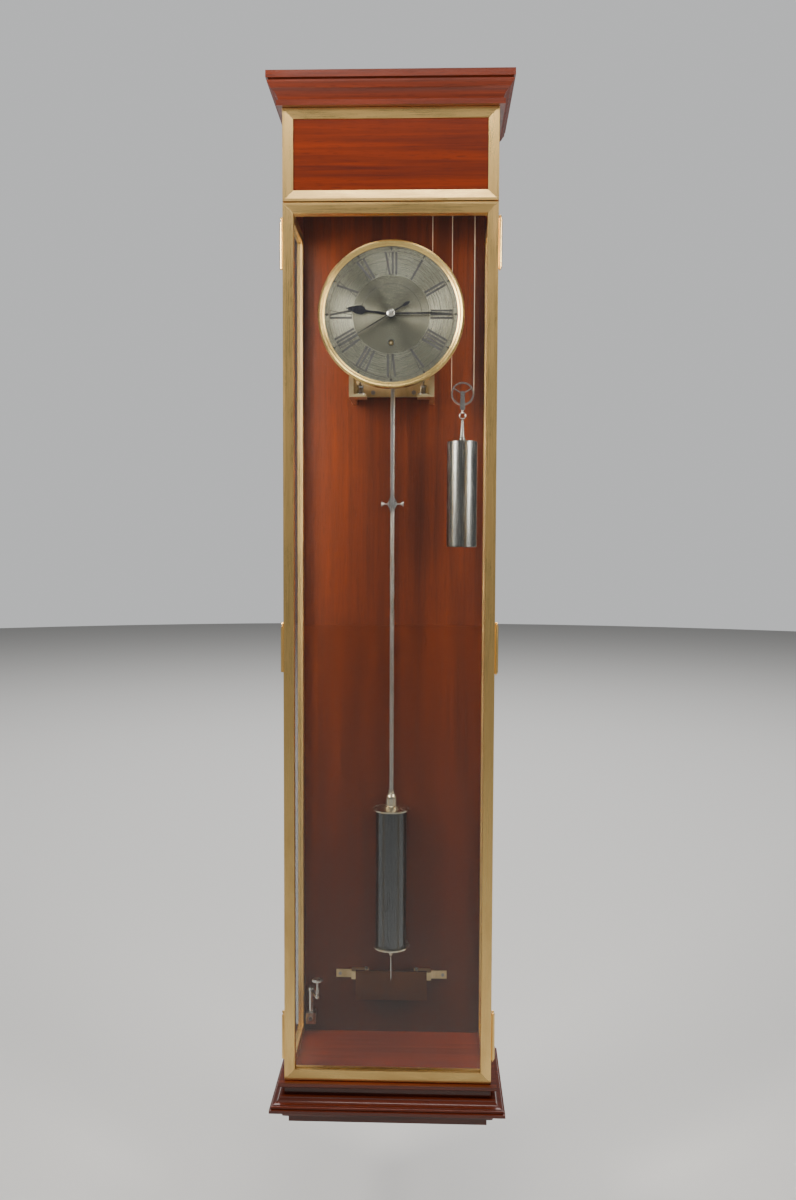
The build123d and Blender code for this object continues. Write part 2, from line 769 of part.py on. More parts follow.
with BuildPart() as crutch:
    bar(on_dial(*pallet), arbor_radius, crutch_near, movement_front)
    bar(on_dial(*pallet), 4.5, crutch_near, crutch_near + crutch_thick)
    block(-2.2, 2.2, crutch_near, crutch_near + crutch_thick,
          dial_z + beat_fitting_rise - 4, dial_z + flex_rise)
    bar(on_dial(0, beat_fitting_rise), 3.4, crutch_near, crutch_near + crutch_thick)
    bar(on_dial(0, beat_fitting_rise), 1.0, crutch_near - 1.8, crutch_near)
save(crutch, "crutch")


# ---- movement plates ----
def plate_outline():
    block(-plate_half_width, plate_half_width, plate_near, plate_near + plate_thick,
          dial_z + plate_foot_rise, dial_z + plate_top_rise)


def bored(centre, radius):
    bar(on_dial(*centre), radius, plate_near, plate_near + plate_thick, Mode.SUBTRACT)


lower_pillars = [(-lower_pillar_x, lower_pillar_rise), (lower_pillar_x, lower_pillar_rise)]
upper_pillars = [(-upper_pillar_x, upper_pillar_rise), (upper_pillar_x, upper_pillar_rise)]
bracket_pillars = [(-upper_pillar_x, bracket_pillar_rise), (upper_pillar_x, bracket_pillar_rise)]
dial_feet = [(-60.0, 20.0), (60.0, 34.0), (-40.0, -84.0)]
jockey = (riser_x - jockey_radius, winding_rise - drum_radius - line_radius + jockey_radius)
stud_radius = 1.5

plate_near = back_plate_depth
with BuildPart() as back_plate:
    plate_outline()
    bored(winding, winding_back_pivot_radius + pivot_fit)
    bored(minute, arbor_radius + pivot_fit)
    bored(third, arbor_radius + pivot_fit)
    bored(escape, arbor_radius + pivot_fit)
    bored(pallet, arbor_radius + pivot_fit)
save(back_plate, "back_plate")

plate_near = front_plate_depth
with BuildPart() as front_plate:
    plate_outline()
    bored(winding, winding_front_pivot_radius + pivot_fit)
    bored(minute, arbor_radius + pivot_fit)
    bored(third, arbor_radius + pivot_fit)
    bored(escape, arbor_radius + pivot_fit)
    bored(pallet, arbor_radius + pivot_fit)
save(front_plate, "front_plate")

with BuildPart() as movement_pillars:
    for centre in lower_pillars + upper_pillars:
        bar(on_dial(*centre), pillar_radius, gear_back, front_plate_depth)
    for centre in bracket_pillars:
        bar(on_dial(*centre), pillar_radius, board_thick + bracket_thick, back_plate_depth)
    for centre in dial_feet:
        bar(on_dial(*centre), 3.0, movement_front, dial_depth)
    bar(on_dial(*jockey), stud_radius, gear_back, front_plate_depth)
    bar(on_dial(*idler), stud_radius, movement_front, hour_near + 5)
save(movement_pillars, "movement_pillars")

# ---- motion work: idler, minute wheel and hour wheel on their pipes ----
minute_pipe_radius = 2.4
hour_pipe_radius = 3.8
hour_hand_near = dial_depth + 5.0
minute_hand_near = dial_depth + 9.0
idler_bore = stud_radius + pivot_fit
minute_bore = arbor_radius + pivot_fit
hour_bore = minute_pipe_radius + pivot_fit

with BuildPart() as motion_idler:
    wheel(idler, idler_teeth, motion_module, idler_phase, motion_near, wheel_thick,
          5, idler_bore)
    pinion(idler, hour_leaves, hour_module, hour_pinion_phase, motion_near + wheel_thick,
           hour_near + 3 - motion_near - wheel_thick, idler_bore)
save(motion_idler, "motion_idler")

with BuildPart() as minute_wheel:
    wheel(escape, motion_teeth, motion_module, minute_phase, motion_near, wheel_thick, 0)
    bar(on_dial(*escape), minute_pipe_radius, motion_near, minute_hand_near + hand_thick)
    bar(on_dial(*escape), minute_bore, motion_near, minute_hand_near + hand_thick, Mode.SUBTRACT)
save(minute_wheel, "minute_wheel")

with BuildPart() as hour_wheel:
    bar(on_dial(*escape), hour_pipe_radius, hour_near, hour_hand_near + hand_thick)
    bar(on_dial(*escape), hour_bore, hour_near, hour_hand_near + hand_thick, Mode.SUBTRACT)
    wheel(escape, hour_teeth, hour_module, hour_phase, hour_near, wheel_thick, 5, hour_bore)
save(hour_wheel, "hour_wheel")

# ---- dial, bezel and hands ----
with BuildPart() as dial_plate:
    bar(on_dial(0, 0), dial_radius, dial_depth, dial_depth + dial_thick)
    bar(on_dial(0, 0), hour_pipe_radius + 1.5, dial_depth, dial_depth + dial_thick, Mode.SUBTRACT)
    bar(on_dial(*winding), winding_hole_radius, dial_depth, dial_depth + dial_thick,
        Mode.SUBTRACT)
save(dial_plate, "dial_plate")

with BuildPart() as dial_bezel:
    lip = dial_depth + dial_thick
    turned_facing(on_dial(0, 0), (
        (dial_radius, dial_depth - 2), (bezel_radius, dial_depth - 2), (bezel_radius, lip + 3),
        (bezel_radius - 1.2, lip + 5), (bezel_radius - 3.5, lip + 5.4), (bezel_radius - 6, lip + 4.2),
        (bezel_radius - 8.2, lip + 2), (dial_radius - 1.5, lip + 0.8), (dial_radius - 1.5, lip),
        (dial_radius, lip)))
save(dial_bezel, "dial_bezel")


def clock_angle(degrees_from_twelve):
    return radians(90 - degrees_from_twelve)


def hand_plane(angle, near):
    """A front plane turned so that its Y runs along the hand."""
    turn = clock_angle(angle)
    return Plane(origin=(0, -near, dial_z), x_dir=(sin(turn), 0, -cos(turn)), z_dir=(0, -1, 0))


with BuildPart() as hour_hand:
    with BuildSketch(hand_plane(hour_hand_angle, hour_hand_near)) as shape:
        Circle(7)
        with BuildLine():
            Polyline((-1.4, 0), (-1.2, 16), (-2.3, 21.5), (-1.2, 26), (-1.2, 43))
            Bezier((-1.2, 43), (-11.5, 44.5), (-7, 58), (-0.5, hour_hand_reach))
            Line((-0.5, hour_hand_reach), (0.5, hour_hand_reach))
            Bezier((0.5, hour_hand_reach), (7, 58), (11.5, 44.5), (1.2, 43))
            Polyline((1.2, 43), (1.2, 26), (2.3, 21.5), (1.2, 16), (1.4, 0), (-1.4, 0))
        make_face()
        Circle(hour_pipe_radius, mode=Mode.SUBTRACT)
    extrude(to_extrude=shape.sketch, amount=hand_thick)
save(hour_hand, "hour_hand")

with BuildPart() as minute_hand:
    with BuildSketch(hand_plane(minute_hand_angle, minute_hand_near)) as shape:
        Circle(5.5)
        with BuildLine():
            Polyline((-1.1, 0), (-1.3, 20), (-2.3, 27.5), (-1.2, 32), (-1.6, 60),
                     (-0.3, minute_hand_reach), (0.3, minute_hand_reach), (1.6, 60),
                     (1.2, 32), (2.3, 27.5), (1.3, 20), (1.1, 0), close=True)
        make_face()
        Circle(minute_pipe_radius, mode=Mode.SUBTRACT)
    extrude(to_extrude=shape.sketch, amount=hand_thick)
save(minute_hand, "minute_hand")

with BuildPart() as seconds_hand:
    with BuildSketch(hand_plane(seconds_hand_angle, seconds_near)) as shape:
        Circle(4)
        with BuildLine():
            Polyline((-0.9, -seconds_tail_reach + 12), (-0.4, seconds_hand_reach),
                     (0.4, seconds_hand_reach), (0.9, -seconds_tail_reach + 12), close=True)
        make_face()
        with BuildLine():
            Bezier((0, -20), (-3.4, -25), (-4, -33), (0, -seconds_tail_reach))
            Bezier((0, -seconds_tail_reach), (4, -33), (3.4, -25), (0, -20))
        make_face()
    extrude(to_extrude=shape.sketch, amount=hand_thick)
save(seconds_hand, "seconds_hand")

with BuildPart() as centre_nut:
    nut = seconds_near + hand_thick
    turned_facing(on_dial(0, 0), ((0, nut), (6.5, nut), (6.5, nut + 0.8), (4.8, nut + 1.6),
                                  (3.4, nut + 3.2), (0, nut + 3.8)))
save(centre_nut, "centre_nut")

# ---- suspension and pendulum ----
cock_half_width = 9.0
cock_rise = flex_rise + 0.3
rod_top_rise = 14.0

with BuildPart() as suspension_cock:
    block(-cock_half_width, cock_half_width, board_thick + bracket_thick,
          pendulum_depth + 7, dial_z + flex_rise + 8, dial_z + flex_rise + 18)
    block(-3, 3, pendulum_depth - 6, pendulum_depth + 6, dial_z + cock_rise,
          dial_z + flex_rise + 8)
save(suspension_cock, "suspension_cock")

with BuildPart() as suspension_spring:
    block(-0.15, 0.15, pendulum_depth - 5, pendulum_depth + 5, dial_z + rod_top_rise,
          dial_z + flex_rise)
save(suspension_spring, "suspension_spring")

thread_radius = 2.0
thread_end_rise = bob_bottom_rise - 15.0

with BuildPart() as pendulum_rod:
    post(0, pendulum_depth, rod_radius, dial_z + bob_bottom_rise, dial_z + rod_top_rise - 6)
    post(0, pendulum_depth, 5.6, dial_z + rod_top_rise - 14, dial_z + rod_top_rise)
    post(0, pendulum_depth, thread_radius, dial_z + thread_end_rise, dial_z + bob_bottom_rise)
save(pendulum_rod, "pendulum_rod")

fitting_thick = 2.0
with BuildPart() as beat_fitting:
    middle = dial_z + beat_fitting_rise
    near = pendulum_depth + rod_radius
    post(0, pendulum_depth, rod_radius + 1.6, middle - 6, middle + 6)
    cut_out(((0, middle - 19), (8, middle - 2), (8, middle + 2), (0, middle + 19),
             (-8, middle + 2), (-8, middle - 2)), near, near + fitting_thick)
    for side in (-1, 1):
        with BuildSketch(Plane(origin=(0, -pendulum_depth, middle), x_dir=(0, 0, 1),
                               z_dir=(0, -1, 0))) as screw:
            with BuildLine():
                Polyline((0, -side * 5), (1.3, -side * 5), (1.3, -side * 13), (3, -side * 15),
                         (5.4, -side * 18.6), (5.4, -side * 19.6), (0, -side * 19.6), close=True)
            make_face()
        revolve(profiles=screw.sketch, axis=Axis((0, -pendulum_depth, middle), (1, 0, 0)))
    post(0, pendulum_depth, rod_radius, middle - 20, middle + 20, Mode.SUBTRACT)
    bar(on_dial(0, beat_fitting_rise), 1.15, near, near + fitting_thick, Mode.SUBTRACT)
save(beat_fitting, "beat_fitting")

with BuildPart() as bob_shell:
    post(0, pendulum_depth, bob_radius, dial_z + bob_bottom_rise + bob_flange_thick,
         dial_z + bob_top_rise - bob_flange_thick)
    post(0, pendulum_depth, rod_radius, dial_z + bob_bottom_rise, dial_z + bob_top_rise,
         Mode.SUBTRACT)
save(bob_shell, "bob_shell")

with BuildPart() as bob_fittings:
    top = dial_z + bob_top_rise
    collar_top = top + collar_height
    turned_upright(0, pendulum_depth, (
        (rod_radius, collar_top), (5.3, collar_top), (5.3, collar_top - 4.7),
        (7.2, collar_top - 6.7), (9.4, collar_top - 11), (10, collar_top - 14.5),
        (10, collar_top - 27), (12.6, collar_top - 28.2), (12.6, top), (bob_flange_radius, top),
        (bob_flange_radius, top - bob_flange_thick), (rod_radius, top - bob_flange_thick)))
    foot = dial_z + bob_bottom_rise
    turned_upright(0, pendulum_depth, (
        (rod_radius, foot + bob_flange_thick), (bob_flange_radius, foot + bob_flange_thick),
        (bob_flange_radius, foot), (rod_radius, foot)))
save(bob_fittings, "bob_fittings")

with BuildPart() as rating_nut:
    top = dial_z + bob_bottom_rise - 0.3
    thread_end = dial_z + thread_end_rise - 0.5
    tip = dial_z + pointer_tip_rise
    turned_upright(0, pendulum_depth, (
        (thread_radius + pin_fit, top), (5.6, top), (5.6, top - 5), (4.8, top - 7),
        (2.8, thread_end - 2), (1.0, thread_end - 6), (1.0, tip + 6), (0, tip), (0, thread_end),
        (thread_radius + pin_fit, thread_end)))
save(rating_nut, "rating_nut")


# ---- pulleys ----
def pulley(x, rise, line_reach, bore, spokes):
    """A grooved pulley whose groove holds the line's middle at line_reach."""
    groove = line_reach - line_radius - 0.05
    lip = line_reach + pulley_lip
    near = line_depth - pulley_thick / 2
    far = line_depth + pulley_thick / 2
    turned_facing(on_dial(x, rise), (
        (bore, near), (lip, near), (lip, near + 1), (groove, line_depth - 0.8),
        (groove, line_depth + 0.8), (lip, far - 1), (lip, far), (bore, far)))
    if spokes:
        rim = groove - 1.4
        with BuildSketch(front(near)) as windows:
            with Locations(on_dial(x, rise)):
                Circle(rim)
                Circle(3.6, mode=Mode.SUBTRACT)
                with PolarLocations(rim / 2, spokes, start_angle=30):
                    Rectangle(rim, 2.2, mode=Mode.SUBTRACT)
        extrude(to_extrude=windows.sketch, amount=pulley_thick, mode=Mode.SUBTRACT)


stud_bore = stud_radius + pin_fit
head_pulley_x = (riser_x + fall_left_x) / 2
head_pulley_reach = (fall_left_x - riser_x) / 2
weight_pulley_x = (fall_left_x + fall_right_x) / 2
weight_pulley_reach = (fall_right_x - fall_left_x) / 2

with BuildPart() as jockey_pulley:
    pulley(*jockey, jockey_radius, stud_bore, 0)
save(jockey_pulley, "jockey_pulley")

with BuildPart() as head_pulley:
    pulley(head_pulley_x, head_pulley_rise, head_pulley_reach, stud_bore, 5)
save(head_pulley, "head_pulley")

with BuildPart() as weight_pulley:
    pulley(weight_pulley_x, weight_pulley_rise, weight_pulley_reach, stud_bore, 3)
save(weight_pulley, "weight_pulley")

with BuildPart() as head_bracket:
    block(head_pulley_x - 12, fall_right_x + 10, board_thick, board_thick + 4,
          dial_z + head_pulley_rise - 12, dial_z + head_pulley_rise + 12)
    stand = line_depth - pulley_thick / 2 - 0.5
    end = line_depth + pulley_thick / 2 + 0.5
    for x in (head_pulley_x, fall_right_x):
        bar(on_dial(x, head_pulley_rise), 4, board_thick + 4, stand)
        bar(on_dial(x, head_pulley_rise), stud_radius, stand, end + 1)
        bar(on_dial(x, head_pulley_rise), 3.5, end, end + 2)
save(head_bracket, "head_bracket")

# ---- the line: a fixed run, two falls that lengthen, and the bend under the weight's pulley ----
fall_top_rise = head_pulley_rise - stud_radius
line_foot_rise = winding_rise - drum_radius - line_radius
over_head = head_pulley_rise + head_pulley_reach
jockey_turn = jockey_radius * (1 - sqrt(0.5))

with BuildPart() as line_run:
    with BuildLine(front(line_depth)) as path:
        Line(on_dial(0, line_foot_rise), on_dial(jockey[0], line_foot_rise))
        ThreePointArc(on_dial(jockey[0], line_foot_rise),
                      on_dial(riser_x - jockey_turn, line_foot_rise + jockey_turn),
                      on_dial(riser_x, jockey[1]))
        Line(on_dial(riser_x, jockey[1]), on_dial(riser_x, head_pulley_rise))
        ThreePointArc(on_dial(riser_x, head_pulley_rise), on_dial(head_pulley_x, over_head),
                      on_dial(fall_left_x, head_pulley_rise))
        Line(on_dial(fall_left_x, head_pulley_rise), on_dial(fall_left_x, fall_top_rise))
    start = (0, -line_depth, dial_z + line_foot_rise)
    with BuildSketch(Plane(origin=start, x_dir=(0, 1, 0), z_dir=(1, 0, 0))) as section:
        Circle(line_radius)
    sweep(sections=section.sketch, path=path.line)
save(line_run, "line_run")

with BuildPart() as line_falls:
    for x in (fall_left_x, fall_right_x):
        post(x, line_depth, line_radius, dial_z + weight_pulley_rise, dial_z + fall_top_rise)
save(line_falls, "line_falls")

with BuildPart() as line_loop:
    with BuildLine(front(line_depth)) as path:
        ThreePointArc(on_dial(fall_left_x, weight_pulley_rise),
                      on_dial(weight_pulley_x, weight_pulley_rise - weight_pulley_reach),
                      on_dial(fall_right_x, weight_pulley_rise))
    start = (fall_left_x, -line_depth, dial_z + weight_pulley_rise)
    with BuildSketch(Plane(origin=start, x_dir=(0, 1, 0), z_dir=(0, 0, -1))) as section:
        Circle(line_radius)
    sweep(sections=section.sketch, path=path.line)
save(line_loop, "line_loop")

# ---- stirrup and hook, weight ----
stirrup_half_width = 4.3
stirrup_thick = 1.8
stirrup_gap = pulley_thick / 2 + 0.7
stirrup_foot_rise = weight_pulley_rise - weight_pulley_reach - 9.0
ring_rise = stirrup_foot_rise - 9.0
ring_reach = 5.0
ring_wire = 1.2

with BuildPart() as pulley_stirrup:
    x = weight_pulley_x
    for near in (line_depth - stirrup_gap - stirrup_thick, line_depth + stirrup_gap):
        cut_out((on_dial(x - 2, weight_pulley_rise + 4), on_dial(x + 2, weight_pulley_rise + 4),
                 on_dial(x + 3.3, weight_pulley_rise + 2),
                 on_dial(x + stirrup_half_width, stirrup_foot_rise + 4),
                 on_dial(x + stirrup_half_width - 1, stirrup_foot_rise),
                 on_dial(x - stirrup_half_width + 1, stirrup_foot_rise),
                 on_dial(x - stirrup_half_width, stirrup_foot_rise + 4),
                 on_dial(x - 3.3, weight_pulley_rise + 2)),
                near, near + stirrup_thick)
    block(x - stirrup_half_width + 1, x + stirrup_half_width - 1, line_depth - stirrup_gap,
          line_depth + stirrup_gap, dial_z + stirrup_foot_rise, dial_z + stirrup_foot_rise + 5)
    bar(on_dial(x, weight_pulley_rise), stud_radius, line_depth - stirrup_gap - stirrup_thick,
        line_depth + stirrup_gap + stirrup_thick + 1.2)
    post(x, line_depth, 1.6, dial_z + ring_rise + ring_reach, dial_z + stirrup_foot_rise)
    with Locations(Location((x, -line_depth, dial_z + ring_rise), (90, 0, 0))):
        Torus(ring_reach, ring_wire)
save(pulley_stirrup, "pulley_stirrup")

with BuildPart() as weight:
    top = dial_z + weight_top_rise
    hanger_top = dial_z + ring_rise - ring_reach - ring_wire - 0.05
    turned_upright(weight_pulley_x, line_depth, (
        (0, hanger_top), (1.8, hanger_top), (2.6, hanger_top - 3), (2.6, hanger_top - 8),
        (4.2, top + 8), (5.6, top + 6), (5.6, top + 2.5), (8.5, top + 1.5), (8.5, top),
        (weight_radius - 1, top), (weight_radius, top - 1),
        (weight_radius, top - weight_height + 1), (weight_radius - 1, top - weight_height),
        (0, top - weight_height)))
save(weight, "weight")

# ---- beat plate and its brackets ----
lug_reach = 101.0
stand_inner = 41.0
stand_outer = beat_plate_half_width + 8
stand_screw_x = 46.0
stand_screw_height = 4.0
lug_height = 14.5
lug_top_rise = beat_plate_top_rise - 5.0
lug_thick = 2.5

with BuildPart() as beat_plate:
    high = dial_z + beat_plate_top_rise
    block(-beat_plate_half_width, beat_plate_half_width, beat_plate_depth,
          beat_plate_depth + beat_plate_thick, high - beat_plate_height, high)
    block(-beat_plate_half_width, beat_plate_half_width, beat_plate_depth - beat_plate_return,
          beat_plate_depth, high - beat_plate_thick, high)
save(beat_plate, "beat_plate")

with BuildPart() as beat_plate_brackets:
    for side in (-1, 1):
        low, high = sorted((side * stand_inner, side * stand_outer))
        block(low, high, board_thick, beat_plate_depth,
              dial_z + lug_top_rise - lug_height + 3, dial_z + beat_plate_top_rise - beat_plate_thick)
        low, high = sorted((side * stand_outer, side * lug_reach))
        block(low, high, board_thick, board_thick + lug_thick,
              dial_z + lug_top_rise - lug_height, dial_z + lug_top_rise)
save(beat_plate_brackets, "beat_plate_brackets")

# ---- winding crank on its holder ----
holder_half_width = 9.0
holder_height = 20.0
peg_radius = winding_square / 2 - 0.2
socket_fit = 0.1
tube_radius = 4.8

with BuildPart() as crank_holder:
    foot = dial_z + crank_foot_rise
    block(crank_x - holder_half_width, crank_x + holder_half_width, board_thick,
          crank_depth + 10, foot - holder_height, foot)
    post(crank_x, crank_depth, peg_radius, foot, foot + 20)
save(crank_holder, "crank_holder")

with BuildPart() as winding_crank:
    foot = dial_z + crank_foot_rise + 0.3
    arm = dial_z + crank_arm_rise
    post(crank_x, crank_depth, tube_radius, foot, arm + 4)
    post(crank_x, crank_depth, tube_radius + 0.9, arm - 3.5, arm + 3.5)
    arm_length = hypot(crank_handle_x - crank_x, crank_handle_depth - crank_depth)
    along = ((crank_handle_x - crank_x) / arm_length,
             -(crank_handle_depth - crank_depth) / arm_length, 0)
    with BuildSketch(Plane(origin=(crank_x, -crank_depth, arm), x_dir=(0, 0, 1),
                           z_dir=along)) as section:
        Rectangle(4.4, 6.4)
    extrude(to_extrude=section.sketch, amount=arm_length)
    post(crank_handle_x, crank_handle_depth, 4.0, arm - 2.2, arm + 2.2)
    turned_upright(crank_handle_x, crank_handle_depth, (
        (0, arm + 2), (2.6, arm + 2), (3.4, arm + 8), (2.2, arm + 16), (2.2, arm + 24),
        (4, arm + 28), (crank_disc_radius, arm + 29.5), (crank_disc_radius, arm + 31.5),
        (8, arm + 33), (0, arm + 33.5)))
    with BuildSketch(level(foot)) as socket:
        with Locations((crank_x, -crank_depth)):
            Rectangle(winding_square + 2 * socket_fit, winding_square + 2 * socket_fit)
    extrude(to_extrude=socket.sketch, amount=24, mode=Mode.SUBTRACT)
save(winding_crank, "winding_crank")


# ---- slotted screws that hold the fittings ----
def screw_head(centre, radius, near, height):
    """A slotted cheese head that faces the front."""
    bar(centre, radius, near, near + height)
    x, z = centre
    block(x - radius, x + radius, near + height * 0.55, near + height, z - 0.35, z + 0.35,
          Mode.SUBTRACT)


with BuildPart() as mounting_screws:
    for x, rise in ((-64, 50), (64, 50), (-36, -110), (36, -110)):
        screw_head(on_dial(x, rise), 3.8, board_thick + bracket_thick, 2.2)
    for x, rise in lower_pillars + upper_pillars:
        screw_head(on_dial(x, rise), 3.6, movement_front, 1.8)
    for side in (-1, 1):
        screw_head(on_dial(side * (lug_reach - 7), lug_top_rise - lug_height / 2), 2.8,
                   board_thick + lug_thick, 1.6)
        stand_top = dial_z + beat_plate_top_rise - beat_plate_thick
        post(side * stand_screw_x, (board_thick + beat_plate_depth - beat_plate_return) / 2, 2.8,
             stand_top, stand_top + stand_screw_height)
    screw_head(on_dial(crank_x, crank_foot_rise - holder_height / 2), 3.4, crank_depth + 10, 1.8)
    for x in (head_pulley_x + 16, fall_right_x - 14):
        screw_head(on_dial(x, head_pulley_rise), 3.4, board_thick + 4, 2)
save(mounting_screws, "mounting_screws")
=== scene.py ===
import math

import bmesh
import bpy
from mathutils import Matrix, Vector


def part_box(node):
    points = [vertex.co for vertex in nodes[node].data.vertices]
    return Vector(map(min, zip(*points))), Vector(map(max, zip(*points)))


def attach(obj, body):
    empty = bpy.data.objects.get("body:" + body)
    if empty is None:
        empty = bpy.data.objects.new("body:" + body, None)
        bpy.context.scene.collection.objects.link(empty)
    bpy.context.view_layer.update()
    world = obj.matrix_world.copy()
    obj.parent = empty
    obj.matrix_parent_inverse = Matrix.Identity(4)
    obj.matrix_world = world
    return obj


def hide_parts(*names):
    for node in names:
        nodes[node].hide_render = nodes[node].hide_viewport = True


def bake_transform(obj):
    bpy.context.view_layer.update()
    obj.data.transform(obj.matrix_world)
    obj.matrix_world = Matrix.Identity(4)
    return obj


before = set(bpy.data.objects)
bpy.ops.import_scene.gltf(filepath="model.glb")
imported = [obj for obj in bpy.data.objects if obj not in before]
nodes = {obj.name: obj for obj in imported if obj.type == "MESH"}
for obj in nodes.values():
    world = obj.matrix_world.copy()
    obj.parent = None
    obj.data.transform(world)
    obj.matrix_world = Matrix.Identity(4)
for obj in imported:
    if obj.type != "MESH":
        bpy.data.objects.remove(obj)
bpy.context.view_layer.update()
MM = 0.001

# ---- Studio ----
# A pale floor a little under the hanging clock, three soft lamps on the side that the
# clock faces, -Y, placed high, and one over the floor behind it.
FLOOR_RADIUS, FLOOR_DROP = 14, 0.28
bpy.ops.mesh.primitive_circle_add(vertices=96, radius=FLOOR_RADIUS, fill_type="NGON",
                                  location=(0, 0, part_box("plinth_carcase")[0].z - FLOOR_DROP))
floor = bpy.context.object
floor.name = "studio_floor"
floor.data.transform(floor.matrix_world)
floor.matrix_world = Matrix.Identity(4)
floor_finish = bpy.data.materials.new("studio_floor")
floor_finish.use_nodes = True
floor_shader = floor_finish.node_tree.nodes["Principled BSDF"]
floor_shader.inputs["Base Color"].default_value = (0.72, 0.71, 0.69, 1)
floor_shader.inputs["Roughness"].default_value = 0.9
floor.data.materials.append(floor_finish)

world = bpy.data.worlds.new("studio")
bpy.context.scene.world = world
world.use_nodes = True
backdrop = world.node_tree.nodes["Background"]
backdrop.inputs["Color"].default_value = (0.80, 0.81, 0.82, 1)
seen = world.node_tree.nodes.new("ShaderNodeLightPath").outputs["Is Camera Ray"]
strength = world.node_tree.nodes.new("ShaderNodeMapRange")
STRENGTH_AS_LIGHT, STRENGTH_SEEN = 0.20, 0.75
strength.inputs["To Min"].default_value = STRENGTH_AS_LIGHT
strength.inputs["To Max"].default_value = STRENGTH_SEEN
world.node_tree.links.new(seen, strength.inputs["Value"])
world.node_tree.links.new(strength.outputs["Result"], backdrop.inputs["Strength"])


def soft_lamp(name, place, target, size, watts, colour):
    """A rectangular lamp that faces its target."""
    data = bpy.data.lights.new(name, "AREA")
    data.shape = "RECTANGLE"
    data.size, data.size_y = size
    data.energy = watts
    data.color = colour
    lamp = bpy.data.objects.new(name, data)
    bpy.context.scene.collection.objects.link(lamp)
    lamp.location = place
    lamp.rotation_euler = (Vector(target) - Vector(place)).to_track_quat("-Z", "Y").to_euler()


soft_lamp("key_lamp", (-1.0, -0.8, 0.0), (0, -0.1, 0.15), (0.4, 0.8), 36, (1.0, 0.95, 0.87))
soft_lamp("fill_lamp", (1.1, -0.8, -0.05), (0, -0.1, 0.1), (0.4, 0.9), 26, (1.0, 0.96, 0.90))
soft_lamp("top_lamp", (0.2, -1.2, 0.9), (0, -0.1, 0.1), (1.2, 0.5), 12, (1.0, 0.98, 0.95))
soft_lamp("floor_lamp", (0, 3.5, 4.5), (0, 3.5, 0), (6, 5), 500, (1.0, 1.0, 1.0))

# ---- Camera ----
# It stands to the right of the clock's middle and looks a little down and to the left.
yaw, pitch, roll = math.radians(1.763), math.radians(3.208), math.radians(0.225)
level_right = Vector((math.cos(yaw), math.sin(yaw), 0))
level_forward = Vector((-math.sin(yaw), math.cos(yaw), 0))
forward = math.cos(pitch) * level_forward - math.sin(pitch) * Vector((0, 0, 1))
upward = math.sin(pitch) * level_forward + math.cos(pitch) * Vector((0, 0, 1))
right = math.cos(roll) * level_right + math.sin(roll) * upward
upward = -math.sin(roll) * level_right + math.cos(roll) * upward
camera_data = bpy.data.cameras.new("camera")
SENSOR_WIDTH, FOCAL_PIXELS, PICTURE_HEIGHT = 36, 1006.16, 1200
camera_data.sensor_width = SENSOR_WIDTH
camera_data.lens = FOCAL_PIXELS * SENSOR_WIDTH / PICTURE_HEIGHT
camera = bpy.data.objects.new("camera", camera_data)
bpy.context.scene.collection.objects.link(camera)
CAMERA_PLACE = (0.0648, -1.8275, -0.619)
camera.matrix_world = Matrix.Translation(CAMERA_PLACE) @ Matrix(
    (right, upward, -forward)).transposed().to_4x4()
bpy.context.scene.camera = camera


# ---- Mahogany: back board, head panels, floor, cornice and plinth ----
# Boards of straight-grained mahogany under a clear polish. Each board's grain runs
# along its length, with dark pores, broad ribbons and a redder tone on the mouldings.
# The back board is painted darker towards its foot, a painted shade for the light falling off low in the
# case.
def tree_node(tree, kind, **settings):
    made = tree.nodes.new(kind)
    for key, value in settings.items():
        setattr(made, key, value)
    return made


def wire(tree, source, target):
    """Joins a socket, or sets a plain value, on an input."""
    if isinstance(source, bpy.types.NodeSocket):
        tree.links.new(source, target)
    else:
        target.default_value = source


def maths(tree, operation, *values):
    made = tree_node(tree, "ShaderNodeMath", operation=operation)
    for value, socket in zip(values, made.inputs):
        wire(tree, value, socket)
    return made.outputs[0]


def stretched(tree, vector, scale, turn=(0, 0, 0), place=(0, 0, 0)):
    made = tree_node(tree, "ShaderNodeMapping")
    wire(tree, vector, made.inputs["Vector"])
    made.inputs["Scale"].default_value = scale
    made.inputs["Rotation"].default_value = turn
    made.inputs["Location"].default_value = place
    return made.outputs["Vector"]


def noise(tree, vector, scale, detail=4.0, roughness=0.55, distortion=0.0):
    made = tree_node(tree, "ShaderNodeTexNoise")
    wire(tree, vector, made.inputs["Vector"])
    for key, value in (("Scale", scale), ("Detail", detail), ("Roughness", roughness),
                       ("Distortion", distortion)):
        made.inputs[key].default_value = value
    return made.outputs["Fac"]


def between(tree, value, low, high, to_low=0.0, to_high=1.0):
    made = tree_node(tree, "ShaderNodeMapRange")
    wire(tree, value, made.inputs["Value"])
    for key, number in (("From Min", low), ("From Max", high), ("To Min", to_low), ("To Max", to_high)):
        wire(tree, number, made.inputs[key])
    return made.outputs["Result"]


def blended(tree, share, first, second):
    made = tree_node(tree, "ShaderNodeMix", data_type="RGBA")
    wire(tree, share, made.inputs["Factor"])
    wire(tree, first, made.inputs["A"])
    wire(tree, second, made.inputs["B"])
    return made.outputs["Result"]


def shader_group(name, inputs, outputs):
    """An empty group with its sockets, and the two nodes that carry them."""
    tree = bpy.data.node_groups.new(name, "ShaderNodeTree")
    for label, kind, value in inputs:
        socket = tree.interface.new_socket(label, in_out="INPUT", socket_type=kind)
        if value is not None:
            socket.default_value = value
    for label, kind in outputs:
        tree.interface.new_socket(label, in_out="OUTPUT", socket_type=kind)
    return tree, tree_node(tree, "NodeGroupInput").outputs, tree_node(tree, "NodeGroupOutput").inputs


